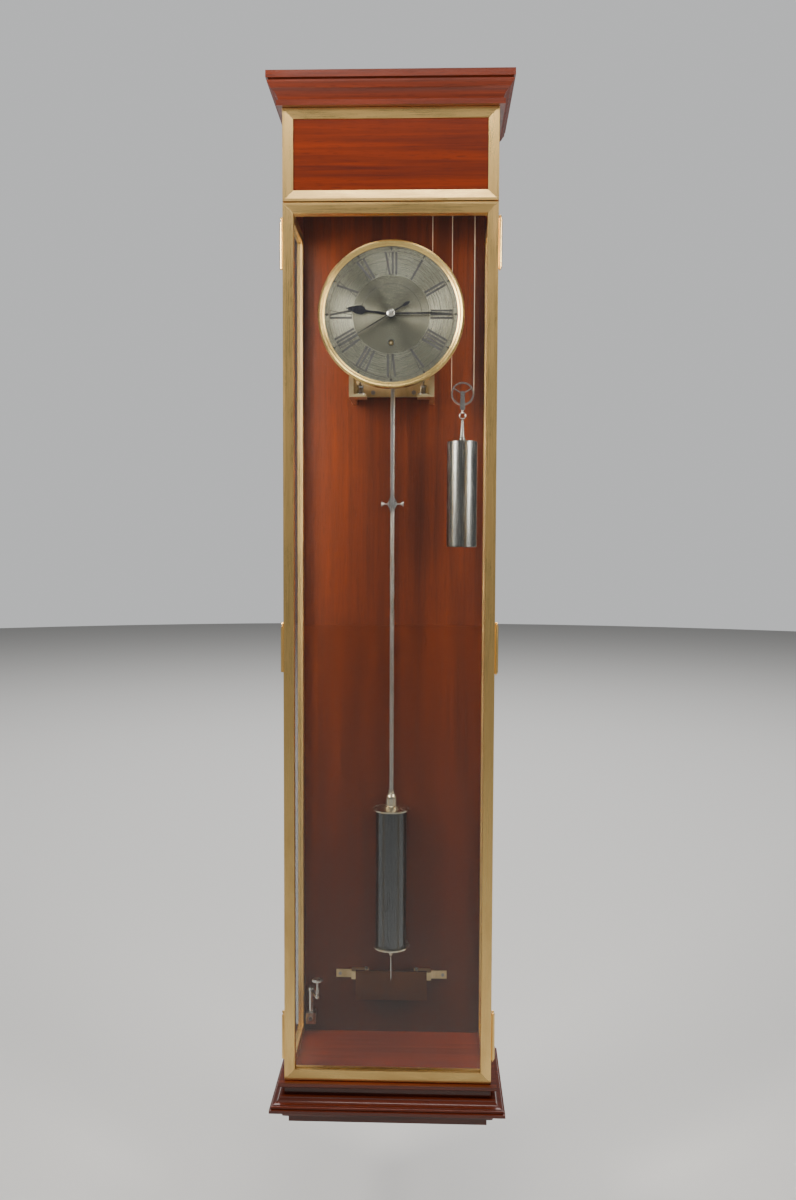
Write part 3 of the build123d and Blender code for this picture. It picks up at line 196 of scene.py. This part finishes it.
grain, given, gives = shader_group(
    "mahogany_grain",
    [("Grain Along Z", "NodeSocketVector", None), ("Light", "NodeSocketColor", (0.62, 0.17, 0.04, 1)),
     ("Dark", "NodeSocketColor", (0.12, 0.02, 0.006, 1)), ("Figure", "NodeSocketFloat", 0.5)],
    [("Color", "NodeSocketColor"), ("Roughness", "NodeSocketFloat"), ("Height", "NodeSocketFloat")])
along = given["Grain Along Z"]
ribbons = noise(grain, stretched(grain, along, (16, 16, 0.9)), 1.0, 5, 0.6, 0.9)
streaks = noise(grain, stretched(grain, along, (120, 120, 3.2)), 1.0, 6, 0.65, 0.35)
pores = noise(grain, stretched(grain, along, (620, 620, 40)), 1.0, 2, 0.5)
pore_mask = between(grain, pores, 0.58, 0.68)
depth_of_tone = maths(grain, "ADD", maths(grain, "MULTIPLY", ribbons, given["Figure"]),
                      maths(grain, "MULTIPLY", streaks, maths(grain, "SUBTRACT", 1.0, given["Figure"])))
tone = blended(grain, between(grain, depth_of_tone, 0.36, 0.66), given["Light"], given["Dark"])
tone = blended(grain, maths(grain, "MULTIPLY", pore_mask, 0.55), tone, given["Dark"])
wire(grain, tone, gives["Color"])
wire(grain, between(grain, streaks, 0.3, 0.7, 0.34, 0.46), gives["Roughness"])
wire(grain, maths(grain, "SUBTRACT", maths(grain, "MULTIPLY", streaks, 0.25), pore_mask), gives["Height"])


def finish(name, roughness=0.5, metallic=0.0, coat=0.0):
    """A new material, its tree, its Principled shader and its object coordinates."""
    material = bpy.data.materials.new(name)
    material.use_nodes = True
    tree = material.node_tree
    shader = tree.nodes["Principled BSDF"]
    shader.inputs["Roughness"].default_value = roughness
    shader.inputs["Metallic"].default_value = metallic
    shader.inputs["Coat Weight"].default_value = coat
    place = tree_node(tree, "ShaderNodeTexCoord").outputs["Object"]
    return material, tree, shader, place


def relief(tree, height, shader, distance, strength=0.6):
    bump = tree_node(tree, "ShaderNodeBump")
    bump.inputs["Strength"].default_value = strength
    bump.inputs["Distance"].default_value = distance
    wire(tree, height, bump.inputs["Height"])
    wire(tree, bump.outputs["Normal"], shader.inputs["Normal"])


def grouped(tree, group, **values):
    made = tree_node(tree, "ShaderNodeGroup", node_tree=group)
    for key, value in values.items():
        wire(tree, value, made.inputs[key.replace("_", " ")])
    return made.outputs


def mahogany(name, turn, light, dark, figure, coat=0.5, lowest=None):
    """Polished wood. With a lowest height, it darkens towards there as painted shade."""
    material, tree, shader, place = finish(name, coat=coat)
    shader.inputs["Coat Roughness"].default_value = 0.12
    shader.inputs["Specular IOR Level"].default_value = 0.15
    out = grouped(tree, grain, Grain_Along_Z=stretched(tree, place, (1, 1, 1), turn),
                  Light=light, Dark=dark, Figure=figure)
    colour = out["Color"]
    if lowest is not None:
        split = tree_node(tree, "ShaderNodeSeparateXYZ")
        wire(tree, place, split.inputs[0])
        # Painted shade: below the given height the colour blends towards near black, standing in for the
        # light falling off low in the case.
        low = between(tree, split.outputs["Z"], lowest, lowest + PAINTED_SHADE_HEIGHT, PAINTED_SHADE_SHARE, 0.0)
        colour = blended(tree, low, colour, (0.028, 0.005, 0.002, 1))
    wire(tree, colour, shader.inputs["Base Color"])
    wire(tree, out["Roughness"], shader.inputs["Roughness"])
    relief(tree, out["Height"], shader, 0.00012, 0.35)
    return material


def dress(material, *names):
    """Gives CAD pieces their finish."""
    for name in names:
        mesh = nodes[name].data
        mesh.materials.clear()
        mesh.materials.append(material)


# Height and share of the painted shade at the foot of the back board.
PAINTED_SHADE_HEIGHT, PAINTED_SHADE_SHARE = 1.15, 0.78
UPRIGHT = (0, 0, 0)
ACROSS = (0, math.radians(90), 0)
board_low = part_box("floor_board")[1].z
dress(mahogany("back_board_mahogany", UPRIGHT, (0.115, 0.018, 0.001, 1), (0.028, 0.004, 0.0005, 1), 0.55,
               0.12, board_low), "back_board")
dress(mahogany("panel_mahogany", ACROSS, (0.13, 0.015, 0.001, 1), (0.048, 0.005, 0.0005, 1), 0.25, 0.25),
      "head_panels", "floor_board")
dress(mahogany("moulding_mahogany", ACROSS, (0.13, 0.019, 0.005, 1), (0.042, 0.006, 0.002, 1), 0.3, 0.9),
      "cornice", "plinth_carcase", "plinth_mouldings")

# ---- Brass frames of the door, the head and the sides ----
# Drawn brass bars, mitred and soldered at the corners and brushed along their length,
# with a little brown lacquer in places. The hinges are the same metal, turned.
brushing, given, gives = shader_group(
    "brushed_along_z",
    [("Brushed Along Z", "NodeSocketVector", None), ("Bright", "NodeSocketColor", (0.8, 0.7, 0.5, 1)),
     ("Tarnish", "NodeSocketColor", (0.4, 0.27, 0.13, 1)), ("Amount", "NodeSocketFloat", 0.35),
     ("Polish", "NodeSocketFloat", 0.28)],
    [("Color", "NodeSocketColor"), ("Roughness", "NodeSocketFloat"), ("Height", "NodeSocketFloat")])
lines = noise(brushing, stretched(brushing, given["Brushed Along Z"], (2600, 2600, 14)), 1.0, 3, 0.6)
clouds = noise(brushing, stretched(brushing, given["Brushed Along Z"], (34, 34, 9)), 1.0, 5, 0.6, 0.6)
spread = maths(brushing, "MULTIPLY", between(brushing, clouds, 0.42, 0.72), given["Amount"])
spread = maths(brushing, "ADD", spread, between(brushing, lines, 0.45, 0.75, 0.0, 0.10))
wire(brushing, blended(brushing, spread, given["Bright"], given["Tarnish"]), gives["Color"])
wire(brushing, maths(brushing, "ADD", given["Polish"],
                     maths(brushing, "ADD", between(brushing, lines, 0.3, 0.7, -0.05, 0.07),
                           maths(brushing, "MULTIPLY", spread, 0.22))), gives["Roughness"])
wire(brushing, lines, gives["Height"])

JOINT_HALF = 0.28 * MM
mitre, given, gives = shader_group(
    "mitred_bars",
    [("Place", "NodeSocketVector", None), ("Across", "NodeSocketFloat", 0.0),
     ("Middle Across", "NodeSocketFloat", 0.0), ("Half Across", "NodeSocketFloat", 0.1),
     ("Low", "NodeSocketFloat", 0.0), ("High", "NodeSocketFloat", 1.0)],
    [("Brushed Along Z", "NodeSocketVector"), ("Joint Line", "NodeSocketFloat"),
     ("Level Bar", "NodeSocketFloat")])
split = tree_node(mitre, "ShaderNodeSeparateXYZ")
wire(mitre, given["Place"], split.inputs[0])
from_side = maths(mitre, "SUBTRACT", given["Half Across"],
                  maths(mitre, "ABSOLUTE", maths(mitre, "SUBTRACT", given["Across"],
                                                 given["Middle Across"])))
from_end = maths(mitre, "MINIMUM", maths(mitre, "SUBTRACT", split.outputs["Z"], given["Low"]),
                 maths(mitre, "SUBTRACT", given["High"], split.outputs["Z"]))
level_bar = maths(mitre, "LESS_THAN", from_end, from_side)
turned = tree_node(mitre, "ShaderNodeCombineXYZ")
wire(mitre, split.outputs["Z"], turned.inputs["X"])
wire(mitre, split.outputs["Y"], turned.inputs["Y"])
wire(mitre, given["Across"], turned.inputs["Z"])
choice = tree_node(mitre, "ShaderNodeMix", data_type="VECTOR")
wire(mitre, level_bar, choice.inputs["Factor"])
choice_in = [s for s in choice.inputs if s.type == "VECTOR"]
wire(mitre, given["Place"], choice_in[-2])
wire(mitre, turned.outputs[0], choice_in[-1])
wire(mitre, [s for s in choice.outputs if s.type == "VECTOR"][-1], gives["Brushed Along Z"])
wire(mitre, maths(mitre, "LESS_THAN",
                  maths(mitre, "ABSOLUTE", maths(mitre, "SUBTRACT", from_side, from_end)), JOINT_HALF),
     gives["Joint Line"])
wire(mitre, level_bar, gives["Level Bar"])

FRAME_BRIGHT, FRAME_TARNISH = (0.95, 0.64, 0.24, 1), (0.48, 0.27, 0.09, 1)


def mitred_brass(name, node, sideways=False):
    low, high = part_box(node)
    material, tree, shader, place = finish(name, 0.3, 1.0)
    split = tree_node(tree, "ShaderNodeSeparateXYZ")
    wire(tree, place, split.inputs[0])
    axis = 1 if sideways else 0
    bars = grouped(tree, mitre, Place=place, Across=split.outputs[axis],
                   Middle_Across=(low[axis] + high[axis]) / 2, Half_Across=(high[axis] - low[axis]) / 2,
                   Low=low.z, High=high.z)
    out = grouped(tree, brushing, Brushed_Along_Z=bars["Brushed Along Z"], Bright=FRAME_BRIGHT,
                  Tarnish=FRAME_TARNISH, Amount=0.42, Polish=0.27)
    wire(tree, blended(tree, maths(tree, "MULTIPLY", bars["Joint Line"], 0.8), out["Color"],
                       (0.10, 0.06, 0.03, 1)), shader.inputs["Base Color"])
    wire(tree, out["Roughness"], shader.inputs["Roughness"])
    relief(tree, maths(tree, "SUBTRACT", maths(tree, "MULTIPLY", out["Height"], 0.3),
                       bars["Joint Line"]), shader, 0.00008, 0.5)
    return material


def plain_metal(name, bright, tarnish, amount=0.2, polish=0.24, turn=UPRIGHT):
    """Metal that was brushed along one direction."""
    material, tree, shader, place = finish(name, polish, 1.0)
    out = grouped(tree, brushing, Brushed_Along_Z=stretched(tree, place, (1, 1, 1), turn),
                  Bright=bright, Tarnish=tarnish, Amount=amount, Polish=polish)
    wire(tree, out["Color"], shader.inputs["Base Color"])
    wire(tree, out["Roughness"], shader.inputs["Roughness"])
    relief(tree, out["Height"], shader, 0.00003, 0.4)
    return material


dress(mitred_brass("door_frame_brass", "door_frame"), "door_frame")
dress(mitred_brass("frieze_frame_brass", "frieze_frame"), "frieze_frame")
dress(mitred_brass("side_frame_brass", "side_frames", True), "side_frames")
dress(plain_metal("hinge_brass", FRAME_BRIGHT, FRAME_TARNISH, 0.5, 0.25), "case_knuckles", "door_knuckles",
      "hinge_pins", "latch_pin_top", "latch_pin_middle", "latch_pin_bottom")


# ---- Glass of the door and of the sides ----
# Plain clear sheets with a faint green body, let into grooves in the brass bars.
def clear_glass(name):
    material, tree, shader, place = finish(name, 0.02)
    shader.inputs["Base Color"].default_value = (0.97, 0.99, 0.98, 1)
    shader.inputs["Transmission Weight"].default_value = 1.0
    shader.inputs["IOR"].default_value = 1.45
    shader.inputs["Specular IOR Level"].default_value = 0.03
    smears = noise(tree, stretched(tree, place, (3, 3, 1.4)), 1.0, 5, 0.6, 0.8)
    wire(tree, between(tree, smears, 0.45, 0.8, 0.0, 0.02), shader.inputs["Roughness"])
    lets_lamps_through = tree_node(tree, "ShaderNodeMixShader")
    wire(tree, tree_node(tree, "ShaderNodeLightPath").outputs["Is Shadow Ray"],
         lets_lamps_through.inputs["Fac"])
    wire(tree, shader.outputs["BSDF"], lets_lamps_through.inputs[1])
    wire(tree, tree_node(tree, "ShaderNodeBsdfTransparent").outputs["BSDF"], lets_lamps_through.inputs[2])
    wire(tree, lets_lamps_through.outputs["Shader"], tree.nodes["Material Output"].inputs["Surface"])
    return material


dress(clear_glass("case_glass"), "door_glass", "side_glasses")

# ---- Dial, its engraving and its bezel ----
# A silvered brass plate, brushed in circles, with numerals and a minute track that were
# cut and filled with black wax. A turned brass bezel holds its edge.
dial_low, dial_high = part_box("dial_plate")
dial_centre = Vector(((dial_low.x + dial_high.x) / 2, dial_low.y, (dial_low.z + dial_high.z) / 2))

silver, tree, shader, place = finish("silvered_dial", 0.34, 1.0)
from_centre = stretched(tree, place, (1, 1, 1), place=-dial_centre)
split = tree_node(tree, "ShaderNodeSeparateXYZ")
wire(tree, from_centre, split.inputs[0])
reach = maths(tree, "SQRT", maths(tree, "ADD", maths(tree, "POWER", split.outputs["X"], 2.0),
                                  maths(tree, "POWER", split.outputs["Z"], 2.0)))
bearing = maths(tree, "ARCTAN2", split.outputs["Z"], split.outputs["X"])
ring_place = tree_node(tree, "ShaderNodeCombineXYZ")
wire(tree, maths(tree, "MULTIPLY", reach, 2600.0), ring_place.inputs["X"])
wire(tree, maths(tree, "MULTIPLY", bearing, 1.3), ring_place.inputs["Y"])
circles = noise(tree, ring_place.outputs[0], 1.0, 3, 0.6)
stains = noise(tree, stretched(tree, place, (22, 22, 22)), 1.0, 6, 0.65, 0.7)
silvering = blended(tree, between(tree, stains, 0.40, 0.78, 0.0, 0.6), (0.44, 0.43, 0.34, 1),
                    (0.22, 0.21, 0.14, 1))
silvering = blended(tree, between(tree, circles, 0.35, 0.75, 0.0, 0.2), silvering, (0.26, 0.23, 0.16, 1))
CHAPTER_INNER = 63.8 * MM
in_centre = between(tree, reach, CHAPTER_INNER - 0.4 * MM, CHAPTER_INNER, 1.0, 0.0)
wire(tree, blended(tree, maths(tree, "MULTIPLY", in_centre, 0.2), silvering, (0.36, 0.33, 0.23, 1)),
     shader.inputs["Base Color"])
wire(tree, maths(tree, "SUBTRACT", between(tree, circles, 0.3, 0.7, 0.22, 0.32),
                 maths(tree, "MULTIPLY", in_centre, 0.05)), shader.inputs["Roughness"])
shader.inputs["Anisotropic"].default_value = 0.92
shader.inputs["Anisotropic Rotation"].default_value = 0.25
tangent = tree_node(tree, "ShaderNodeTangent", direction_type="RADIAL", axis="Y")
wire(tree, tangent.outputs["Tangent"], shader.inputs["Tangent"])
relief(tree, circles, shader, 0.00002, 0.35)
dress(silver, "dial_plate")

wax, tree, shader, place = finish("black_wax", 0.5)
wire(tree, blended(tree, noise(tree, stretched(tree, place, (400, 400, 400)), 1.0), (0.006, 0.006, 0.007, 1),
                   (0.022, 0.020, 0.020, 1)), shader.inputs["Base Color"])
scratched = noise(tree, stretched(tree, place, (900, 900, 900)), 1.0)
wire(tree, between(tree, scratched, 0.3, 0.7, 0.4, 0.6), shader.inputs["Roughness"])


def flat_piece(name, outlines, depth_y, material, thick=0.05 * MM):
    """Flat shapes on an upright plane: each outline is a list of X and Z from the dial's centre."""
    work = bmesh.new()
    for outline in outlines:
        points = [work.verts.new((dial_centre.x + x, depth_y, dial_centre.z + z)) for x, z in outline]
        work.faces.new(points)
    bmesh.ops.recalc_face_normals(work, faces=work.faces)
    raised = bmesh.ops.extrude_face_region(work, geom=list(work.faces))
    moved = [v for v in raised["geom"] if isinstance(v, bmesh.types.BMVert)]
    bmesh.ops.translate(work, verts=moved, vec=(0, -thick, 0))
    bmesh.ops.recalc_face_normals(work, faces=work.faces)
    mesh = bpy.data.meshes.new(name)
    work.to_mesh(mesh)
    work.free()
    mesh.materials.append(material)
    piece = bpy.data.objects.new(name, mesh)
    bpy.context.scene.collection.objects.link(piece)
    return piece


def on_dial(radius, across, clock_degrees):
    """A point at a radius, moved sideways from the ray at this clock angle."""
    turn = math.radians(clock_degrees)
    return (radius * math.sin(turn) + across * math.cos(turn),
            radius * math.cos(turn) - across * math.sin(turn))


THICK_STROKE, THIN_STROKE, SERIF, SERIF_INSET = 3.5 * MM, 1.0 * MM, 0.6 * MM, 0.6 * MM
LETTER_LEAN = 0.34
NUMERAL_INNER, NUMERAL_OUTER = 65.0 * MM, 101.0 * MM
LETTER_PITCH = {"I": 6.0 * MM, "V": 10.5 * MM, "X": 10.5 * MM}


def stroke(at_inner, at_outer, width, clock_degrees):
    """A bar from the numerals' inner circle to the outer one."""
    return [on_dial(NUMERAL_INNER, at_inner - width / 2, clock_degrees),
            on_dial(NUMERAL_INNER, at_inner + width / 2, clock_degrees),
            on_dial(NUMERAL_OUTER, at_outer + width / 2, clock_degrees),
            on_dial(NUMERAL_OUTER, at_outer - width / 2, clock_degrees)]


def serif_line(radius, low, high, clock_degrees):
    return [on_dial(radius - SERIF / 2, low, clock_degrees), on_dial(radius - SERIF / 2, high, clock_degrees),
            on_dial(radius + SERIF / 2, high, clock_degrees), on_dial(radius + SERIF / 2, low, clock_degrees)]


def numeral(letters, clock_degrees):
    """Every numeral stands with its foot to the centre."""
    shapes = []
    total = sum(LETTER_PITCH[letter] for letter in letters)
    start = -total / 2
    for letter in letters:
        wide = LETTER_PITCH[letter]
        middle = start + wide / 2
        lean = wide * LETTER_LEAN
        if letter == "I":
            shapes.append(stroke(middle, middle, THICK_STROKE, clock_degrees))
        if letter == "V":
            shapes.append(stroke(middle + 0.3 * MM, middle - lean, THICK_STROKE, clock_degrees))
            shapes.append(stroke(middle + 0.9 * MM, middle + lean, THIN_STROKE, clock_degrees))
        if letter == "X":
            shapes.append(stroke(middle + lean, middle - lean, THICK_STROKE, clock_degrees))
            shapes.append(stroke(middle - lean, middle + lean, THIN_STROKE, clock_degrees))
        start += wide
    for radius in (NUMERAL_INNER, NUMERAL_OUTER):
        shapes.append(serif_line(radius, -total / 2 + SERIF_INSET, total / 2 - SERIF_INSET, clock_degrees))
    return shapes


numerals = []
for hour, letters in enumerate(("XII", "I", "II", "III", "IIII", "V", "VI", "VII", "VIII", "IX", "X", "XI")):
    numerals += numeral(letters, hour * 30)
# Marks as radius and sideways reach in millimetres: diamonds at the quarters, and
# triangles at the other hours.
DIAMOND = ((103.2, 0), (106.6, 2.1), (110.0, 0), (106.6, -2.1))
TRIANGLE = ((104.0, 0), (110.0, 2.0), (110.0, -2.0))
for clock_degrees in range(0, 360, 30):
    corners = TRIANGLE if clock_degrees % 90 else DIAMOND
    numerals.append([on_dial(radius * MM, across * MM, clock_degrees) for radius, across in corners])
engraving = flat_piece("dial_numerals", numerals, dial_low.y, wax)
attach(engraving, "case")


def node_tree(name, inputs):
    """An empty Geometry Nodes tree with named inputs and one geometry output."""
    tree = bpy.data.node_groups.new(name, "GeometryNodeTree")
    for label, kind, value in inputs:
        socket = tree.interface.new_socket(label, in_out="INPUT", socket_type=kind)
        if value is not None:
            socket.default_value = value
    tree.interface.new_socket("Geometry", in_out="OUTPUT", socket_type="NodeSocketGeometry")
    return tree, tree_node(tree, "NodeGroupInput").outputs, tree_node(tree, "NodeGroupOutput").inputs


def grown(name, tree, body, slot, **values):
    """Runs a tree on an empty mesh with these inputs, and keeps the result as a plain mesh."""
    holder = bpy.data.objects.new(name + "_tree", bpy.data.meshes.new(name + "_tree"))
    bpy.context.scene.collection.objects.link(holder)
    modifier = holder.modifiers.new("grow", "NODES")
    modifier.node_group = tree
    for socket in tree.interface.items_tree:
        if socket.in_out == "INPUT" and socket.name.replace(" ", "_") in values:
            modifier[socket.identifier] = values[socket.name.replace(" ", "_")]
    bpy.context.view_layer.update()
    ready = holder.evaluated_get(bpy.context.evaluated_depsgraph_get())
    mesh = bpy.data.meshes.new_from_object(ready)
    bpy.data.objects.remove(holder)
    mesh.name = name
    piece = bpy.data.objects.new(name, mesh)
    bpy.context.scene.collection.objects.link(piece)
    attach(piece, body)
    return piece


def finish_tree(tree, geometry, turn, place, material, gives):
    """Turns and places the geometry, makes instances real, and gives them a material."""
    moved = tree_node(tree, "GeometryNodeTransform")
    wire(tree, geometry, moved.inputs["Geometry"])
    wire(tree, turn, moved.inputs["Rotation"])
    wire(tree, place, moved.inputs["Translation"])
    real = tree_node(tree, "GeometryNodeRealizeInstances")
    wire(tree, moved.outputs[0], real.inputs[0])
    dressed = tree_node(tree, "GeometryNodeSetMaterial")
    wire(tree, real.outputs[0], dressed.inputs["Geometry"])
    wire(tree, material, dressed.inputs["Material"])
    wire(tree, dressed.outputs[0], gives["Geometry"])


# A ring of equal bars about a centre, each bar pointing outward.
spoke_ring, given, gives = node_tree("ring_of_bars", [
    ("Count", "NodeSocketInt", 12), ("Radius", "NodeSocketFloat", 0.1),
    ("Bar Size", "NodeSocketVector", (0.01, 0.001, 0.001)), ("Turn", "NodeSocketRotation", None),
    ("Centre", "NodeSocketVector", None), ("Finish", "NodeSocketMaterial", None)])
circle = tree_node(spoke_ring, "GeometryNodeMeshCircle")
wire(spoke_ring, given["Count"], circle.inputs["Vertices"])
wire(spoke_ring, given["Radius"], circle.inputs["Radius"])
bar = tree_node(spoke_ring, "GeometryNodeMeshCube")
wire(spoke_ring, given["Bar Size"], bar.inputs["Size"])
outward = tree_node(spoke_ring, "FunctionNodeAlignRotationToVector", axis="X")
wire(spoke_ring, tree_node(spoke_ring, "GeometryNodeInputPosition").outputs[0], outward.inputs["Vector"])
placed = tree_node(spoke_ring, "GeometryNodeInstanceOnPoints")
wire(spoke_ring, circle.outputs[0], placed.inputs["Points"])
wire(spoke_ring, bar.outputs[0], placed.inputs["Instance"])
wire(spoke_ring, outward.outputs[0], placed.inputs["Rotation"])
finish_tree(spoke_ring, placed.outputs[0], given["Turn"], given["Centre"], given["Finish"], gives)

# A fine ring line, as a lathe cuts it.
ring_line, given, gives = node_tree("ring_line", [
    ("Radius", "NodeSocketFloat", 0.1), ("Line", "NodeSocketFloat", 0.0003),
    ("Turn", "NodeSocketRotation", None), ("Centre", "NodeSocketVector", None),
    ("Finish", "NodeSocketMaterial", None)])
circle = tree_node(ring_line, "GeometryNodeCurvePrimitiveCircle")
circle.inputs["Resolution"].default_value = 160
wire(ring_line, given["Radius"], circle.inputs["Radius"])
section = tree_node(ring_line, "GeometryNodeCurvePrimitiveCircle")
section.inputs["Resolution"].default_value = 4
wire(ring_line, given["Line"], section.inputs["Radius"])
swept = tree_node(ring_line, "GeometryNodeCurveToMesh")
wire(ring_line, circle.outputs[0], swept.inputs["Curve"])
wire(ring_line, section.outputs[0], swept.inputs["Profile Curve"])
finish_tree(ring_line, swept.outputs[0], given["Turn"], given["Centre"], given["Finish"], gives)

FACING = (math.radians(90), 0, 0)
TRACK_INNER, TRACK_OUTER = 102.8 * MM, 110.2 * MM
track_centre = Vector((dial_centre.x, dial_low.y, dial_centre.z))
grown("minute_marks", spoke_ring, "case", "blued_steel", Count=60, Radius=(TRACK_INNER + TRACK_OUTER) / 2,
      Bar_Size=(TRACK_OUTER - TRACK_INNER, 0.5 * MM, 0.1 * MM), Turn=FACING, Centre=track_centre, Finish=wax)
for index, radius in enumerate((TRACK_INNER, TRACK_OUTER)):
    grown(f"dial_ring_{index}", ring_line, "case", "blued_steel", Radius=radius, Line=0.26 * MM,
          Turn=FACING, Centre=track_centre, Finish=wax)

ARC_RADIUS, ARC_STEPS, ARC_HALF = 50.3 * MM, 64, 0.3 * MM
ARC_START, ARC_SWEEP = -88, 176
arc_shapes = []
for step in range(ARC_STEPS):
    here, there = (ARC_START + ARC_SWEEP * (step + k) / ARC_STEPS for k in (0, 1))
    arc_shapes.append([on_dial(ARC_RADIUS - ARC_HALF, 0, here), on_dial(ARC_RADIUS - ARC_HALF, 0, there),
                       on_dial(ARC_RADIUS + ARC_HALF, 0, there), on_dial(ARC_RADIUS + ARC_HALF, 0, here)])
dial_arc = flat_piece("dial_arc", arc_shapes, dial_low.y, wax, 0.03 * MM)
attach(dial_arc, "case")

drum_low, drum_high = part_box("winding_drum")
eye_centre = Vector(((drum_low.x + drum_high.x) / 2, dial_low.y, (drum_low.z + drum_high.z) / 2))
grown("winding_eye", ring_line, "case", "blued_steel", Radius=4.9 * MM, Line=0.5 * MM, Turn=FACING,
      Centre=eye_centre, Finish=wax)

dress(plain_metal("bezel_brass", (0.88, 0.62, 0.22, 1), (0.46, 0.28, 0.09, 1), 0.35, 0.2), "dial_bezel")

# ---- Hands and the nut that holds them ----
# Steel, filed thin and blued by heat, with a polished nut on the middle.
dress(plain_metal("blued_hands", (0.045, 0.045, 0.055, 1), (0.015, 0.016, 0.03, 1), 0.5, 0.26),
      "hour_hand", "minute_hand", "seconds_hand")
STEEL_BRIGHT, STEEL_DULL = (0.60, 0.59, 0.56, 1), (0.27, 0.25, 0.22, 1)
polished_steel = plain_metal("polished_steel", STEEL_BRIGHT, STEEL_DULL, 0.25, 0.2)
dress(polished_steel, "centre_nut")

# ---- Movement ----
# Gilt brass plates, wheels and pillars between which steel arbors run.
dress(plain_metal("plate_brass", (0.76, 0.56, 0.26, 1), (0.45, 0.28, 0.11, 1), 0.3, 0.28), "back_plate",
      "front_plate", "movement_pillars")
dress(plain_metal("wheel_brass", (0.83, 0.64, 0.32, 1), (0.5, 0.33, 0.14, 1), 0.25, 0.22, ACROSS),
      "great_wheel", "winding_drum", "centre_wheel", "third_wheel", "escape_wheel", "motion_idler",
      "minute_wheel", "hour_wheel", "jockey_pulley", "head_pulley")
dress(plain_metal("dark_steel", (0.36, 0.36, 0.36, 1), (0.16, 0.15, 0.14, 1), 0.3, 0.3), "pallets",
      "crutch", "suspension_spring", "hanging_plate", "mounting_screws")

# ---- Bracket and levelling screws ----
# A brass seat screwed to the back board, on which the movement stands over two bell-shaped
# steel screws.
dress(plain_metal("bracket_brass", (0.70, 0.56, 0.31, 1), (0.32, 0.22, 0.10, 1), 0.45, 0.3),
      "movement_bracket", "suspension_cock", "head_bracket", "beat_plate_brackets")
dress(polished_steel, "levelling_screws")

# ---- Pendulum ----
# A polished steel rod, a plated cylinder between two pale flanges, and a nut under it.
rod_steel = plain_metal("rod_steel", (0.58, 0.57, 0.54, 1), (0.26, 0.24, 0.21, 1), 0.35, 0.22)
dress(rod_steel, "pendulum_rod", "beat_fitting", "rating_nut")
bob_steel = plain_metal("bob_steel", (0.12, 0.123, 0.127, 1), (0.055, 0.055, 0.058, 1), 0.3, 0.2)
dress(bob_steel, "bob_shell")
dress(plain_metal("pale_brass", (0.70, 0.64, 0.50, 1), (0.38, 0.32, 0.22, 1), 0.35, 0.2), "bob_fittings")

# ---- Driving weight and its pulley ----
# A steel cylinder that hangs from a bright three-spoked pulley in the bight of the line.
dress(plain_metal("weight_steel", (0.22, 0.22, 0.21, 1), (0.10, 0.10, 0.097, 1), 0.25, 0.2), "weight")
dress(plain_metal("nickel", (0.74, 0.73, 0.70, 1), (0.45, 0.43, 0.38, 1), 0.2, 0.12), "weight_pulley",
      "pulley_stirrup")

# ---- Line ----
# Plaited gut-coloured cord, from the drum over the jockey and head pulleys, down to the
# weight's pulley and up to its anchor. The two falls lengthen as the weight sinks.
cord_finish, tree, shader, place = finish("line_cord", 0.75)
plait = tree_node(tree, "ShaderNodeTexWave", wave_type="BANDS", bands_direction="DIAGONAL")
wire(tree, stretched(tree, place, (1, 1, 1)), plait.inputs["Vector"])
plait.inputs["Scale"].default_value = 900
plait.inputs["Distortion"].default_value = 1.0
wire(tree, blended(tree, plait.outputs["Fac"], (0.62, 0.50, 0.36, 1), (0.32, 0.24, 0.16, 1)),
     shader.inputs["Base Color"])
relief(tree, plait.outputs["Fac"], shader, 0.0002, 0.8)
dress(cord_finish, "line_run", "line_loop")

# The falls, in rings along their length.
falls_low, falls_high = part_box("line_falls")
line_radius = (falls_high.y - falls_low.y) / 2
FALL_RINGS, FALL_SIDES = 40, 10


def line_falls():
    """Two upright round cords between the ends of the CAD's falls."""
    work = bmesh.new()
    height = falls_high.z - falls_low.z
    for x in (falls_low.x + line_radius, falls_high.x - line_radius):
        rings = []
        for ring in range(FALL_RINGS + 1):
            z = falls_low.z + height * ring / FALL_RINGS
            rings.append([work.verts.new((
                x + line_radius * math.cos(2 * math.pi * side / FALL_SIDES),
                (falls_low.y + falls_high.y) / 2 + line_radius * math.sin(2 * math.pi * side / FALL_SIDES),
                z)) for side in range(FALL_SIDES)])
        for lower, upper in zip(rings, rings[1:]):
            for side in range(FALL_SIDES):
                after = (side + 1) % FALL_SIDES
                work.faces.new((lower[side], lower[after], upper[after], upper[side]))
        work.faces.new(rings[0][::-1])
        work.faces.new(rings[-1])
    bmesh.ops.recalc_face_normals(work, faces=work.faces)
    mesh = bpy.data.meshes.new("weight_line_falls")
    work.to_mesh(mesh)
    work.free()
    for face in mesh.polygons:
        face.use_smooth = True
    mesh.materials.append(cord_finish)
    piece = bpy.data.objects.new("weight_line_falls", mesh)
    bpy.context.scene.collection.objects.link(piece)
    return piece


falls = line_falls()
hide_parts("line_falls")
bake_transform(falls)

# ---- Beat plate ----
# A thin plate of brushed copper-brown brass on two lugs, under the pendulum's point.
dress(plain_metal("beat_plate_brass", (0.13, 0.045, 0.018, 1), (0.06, 0.02, 0.009, 1), 0.5, 0.36),
      "beat_plate")

# ---- Winding crank ----
# A steel crank with a turned knob, kept on a peg at the foot of the case.
dress(polished_steel, "winding_crank", "crank_holder")
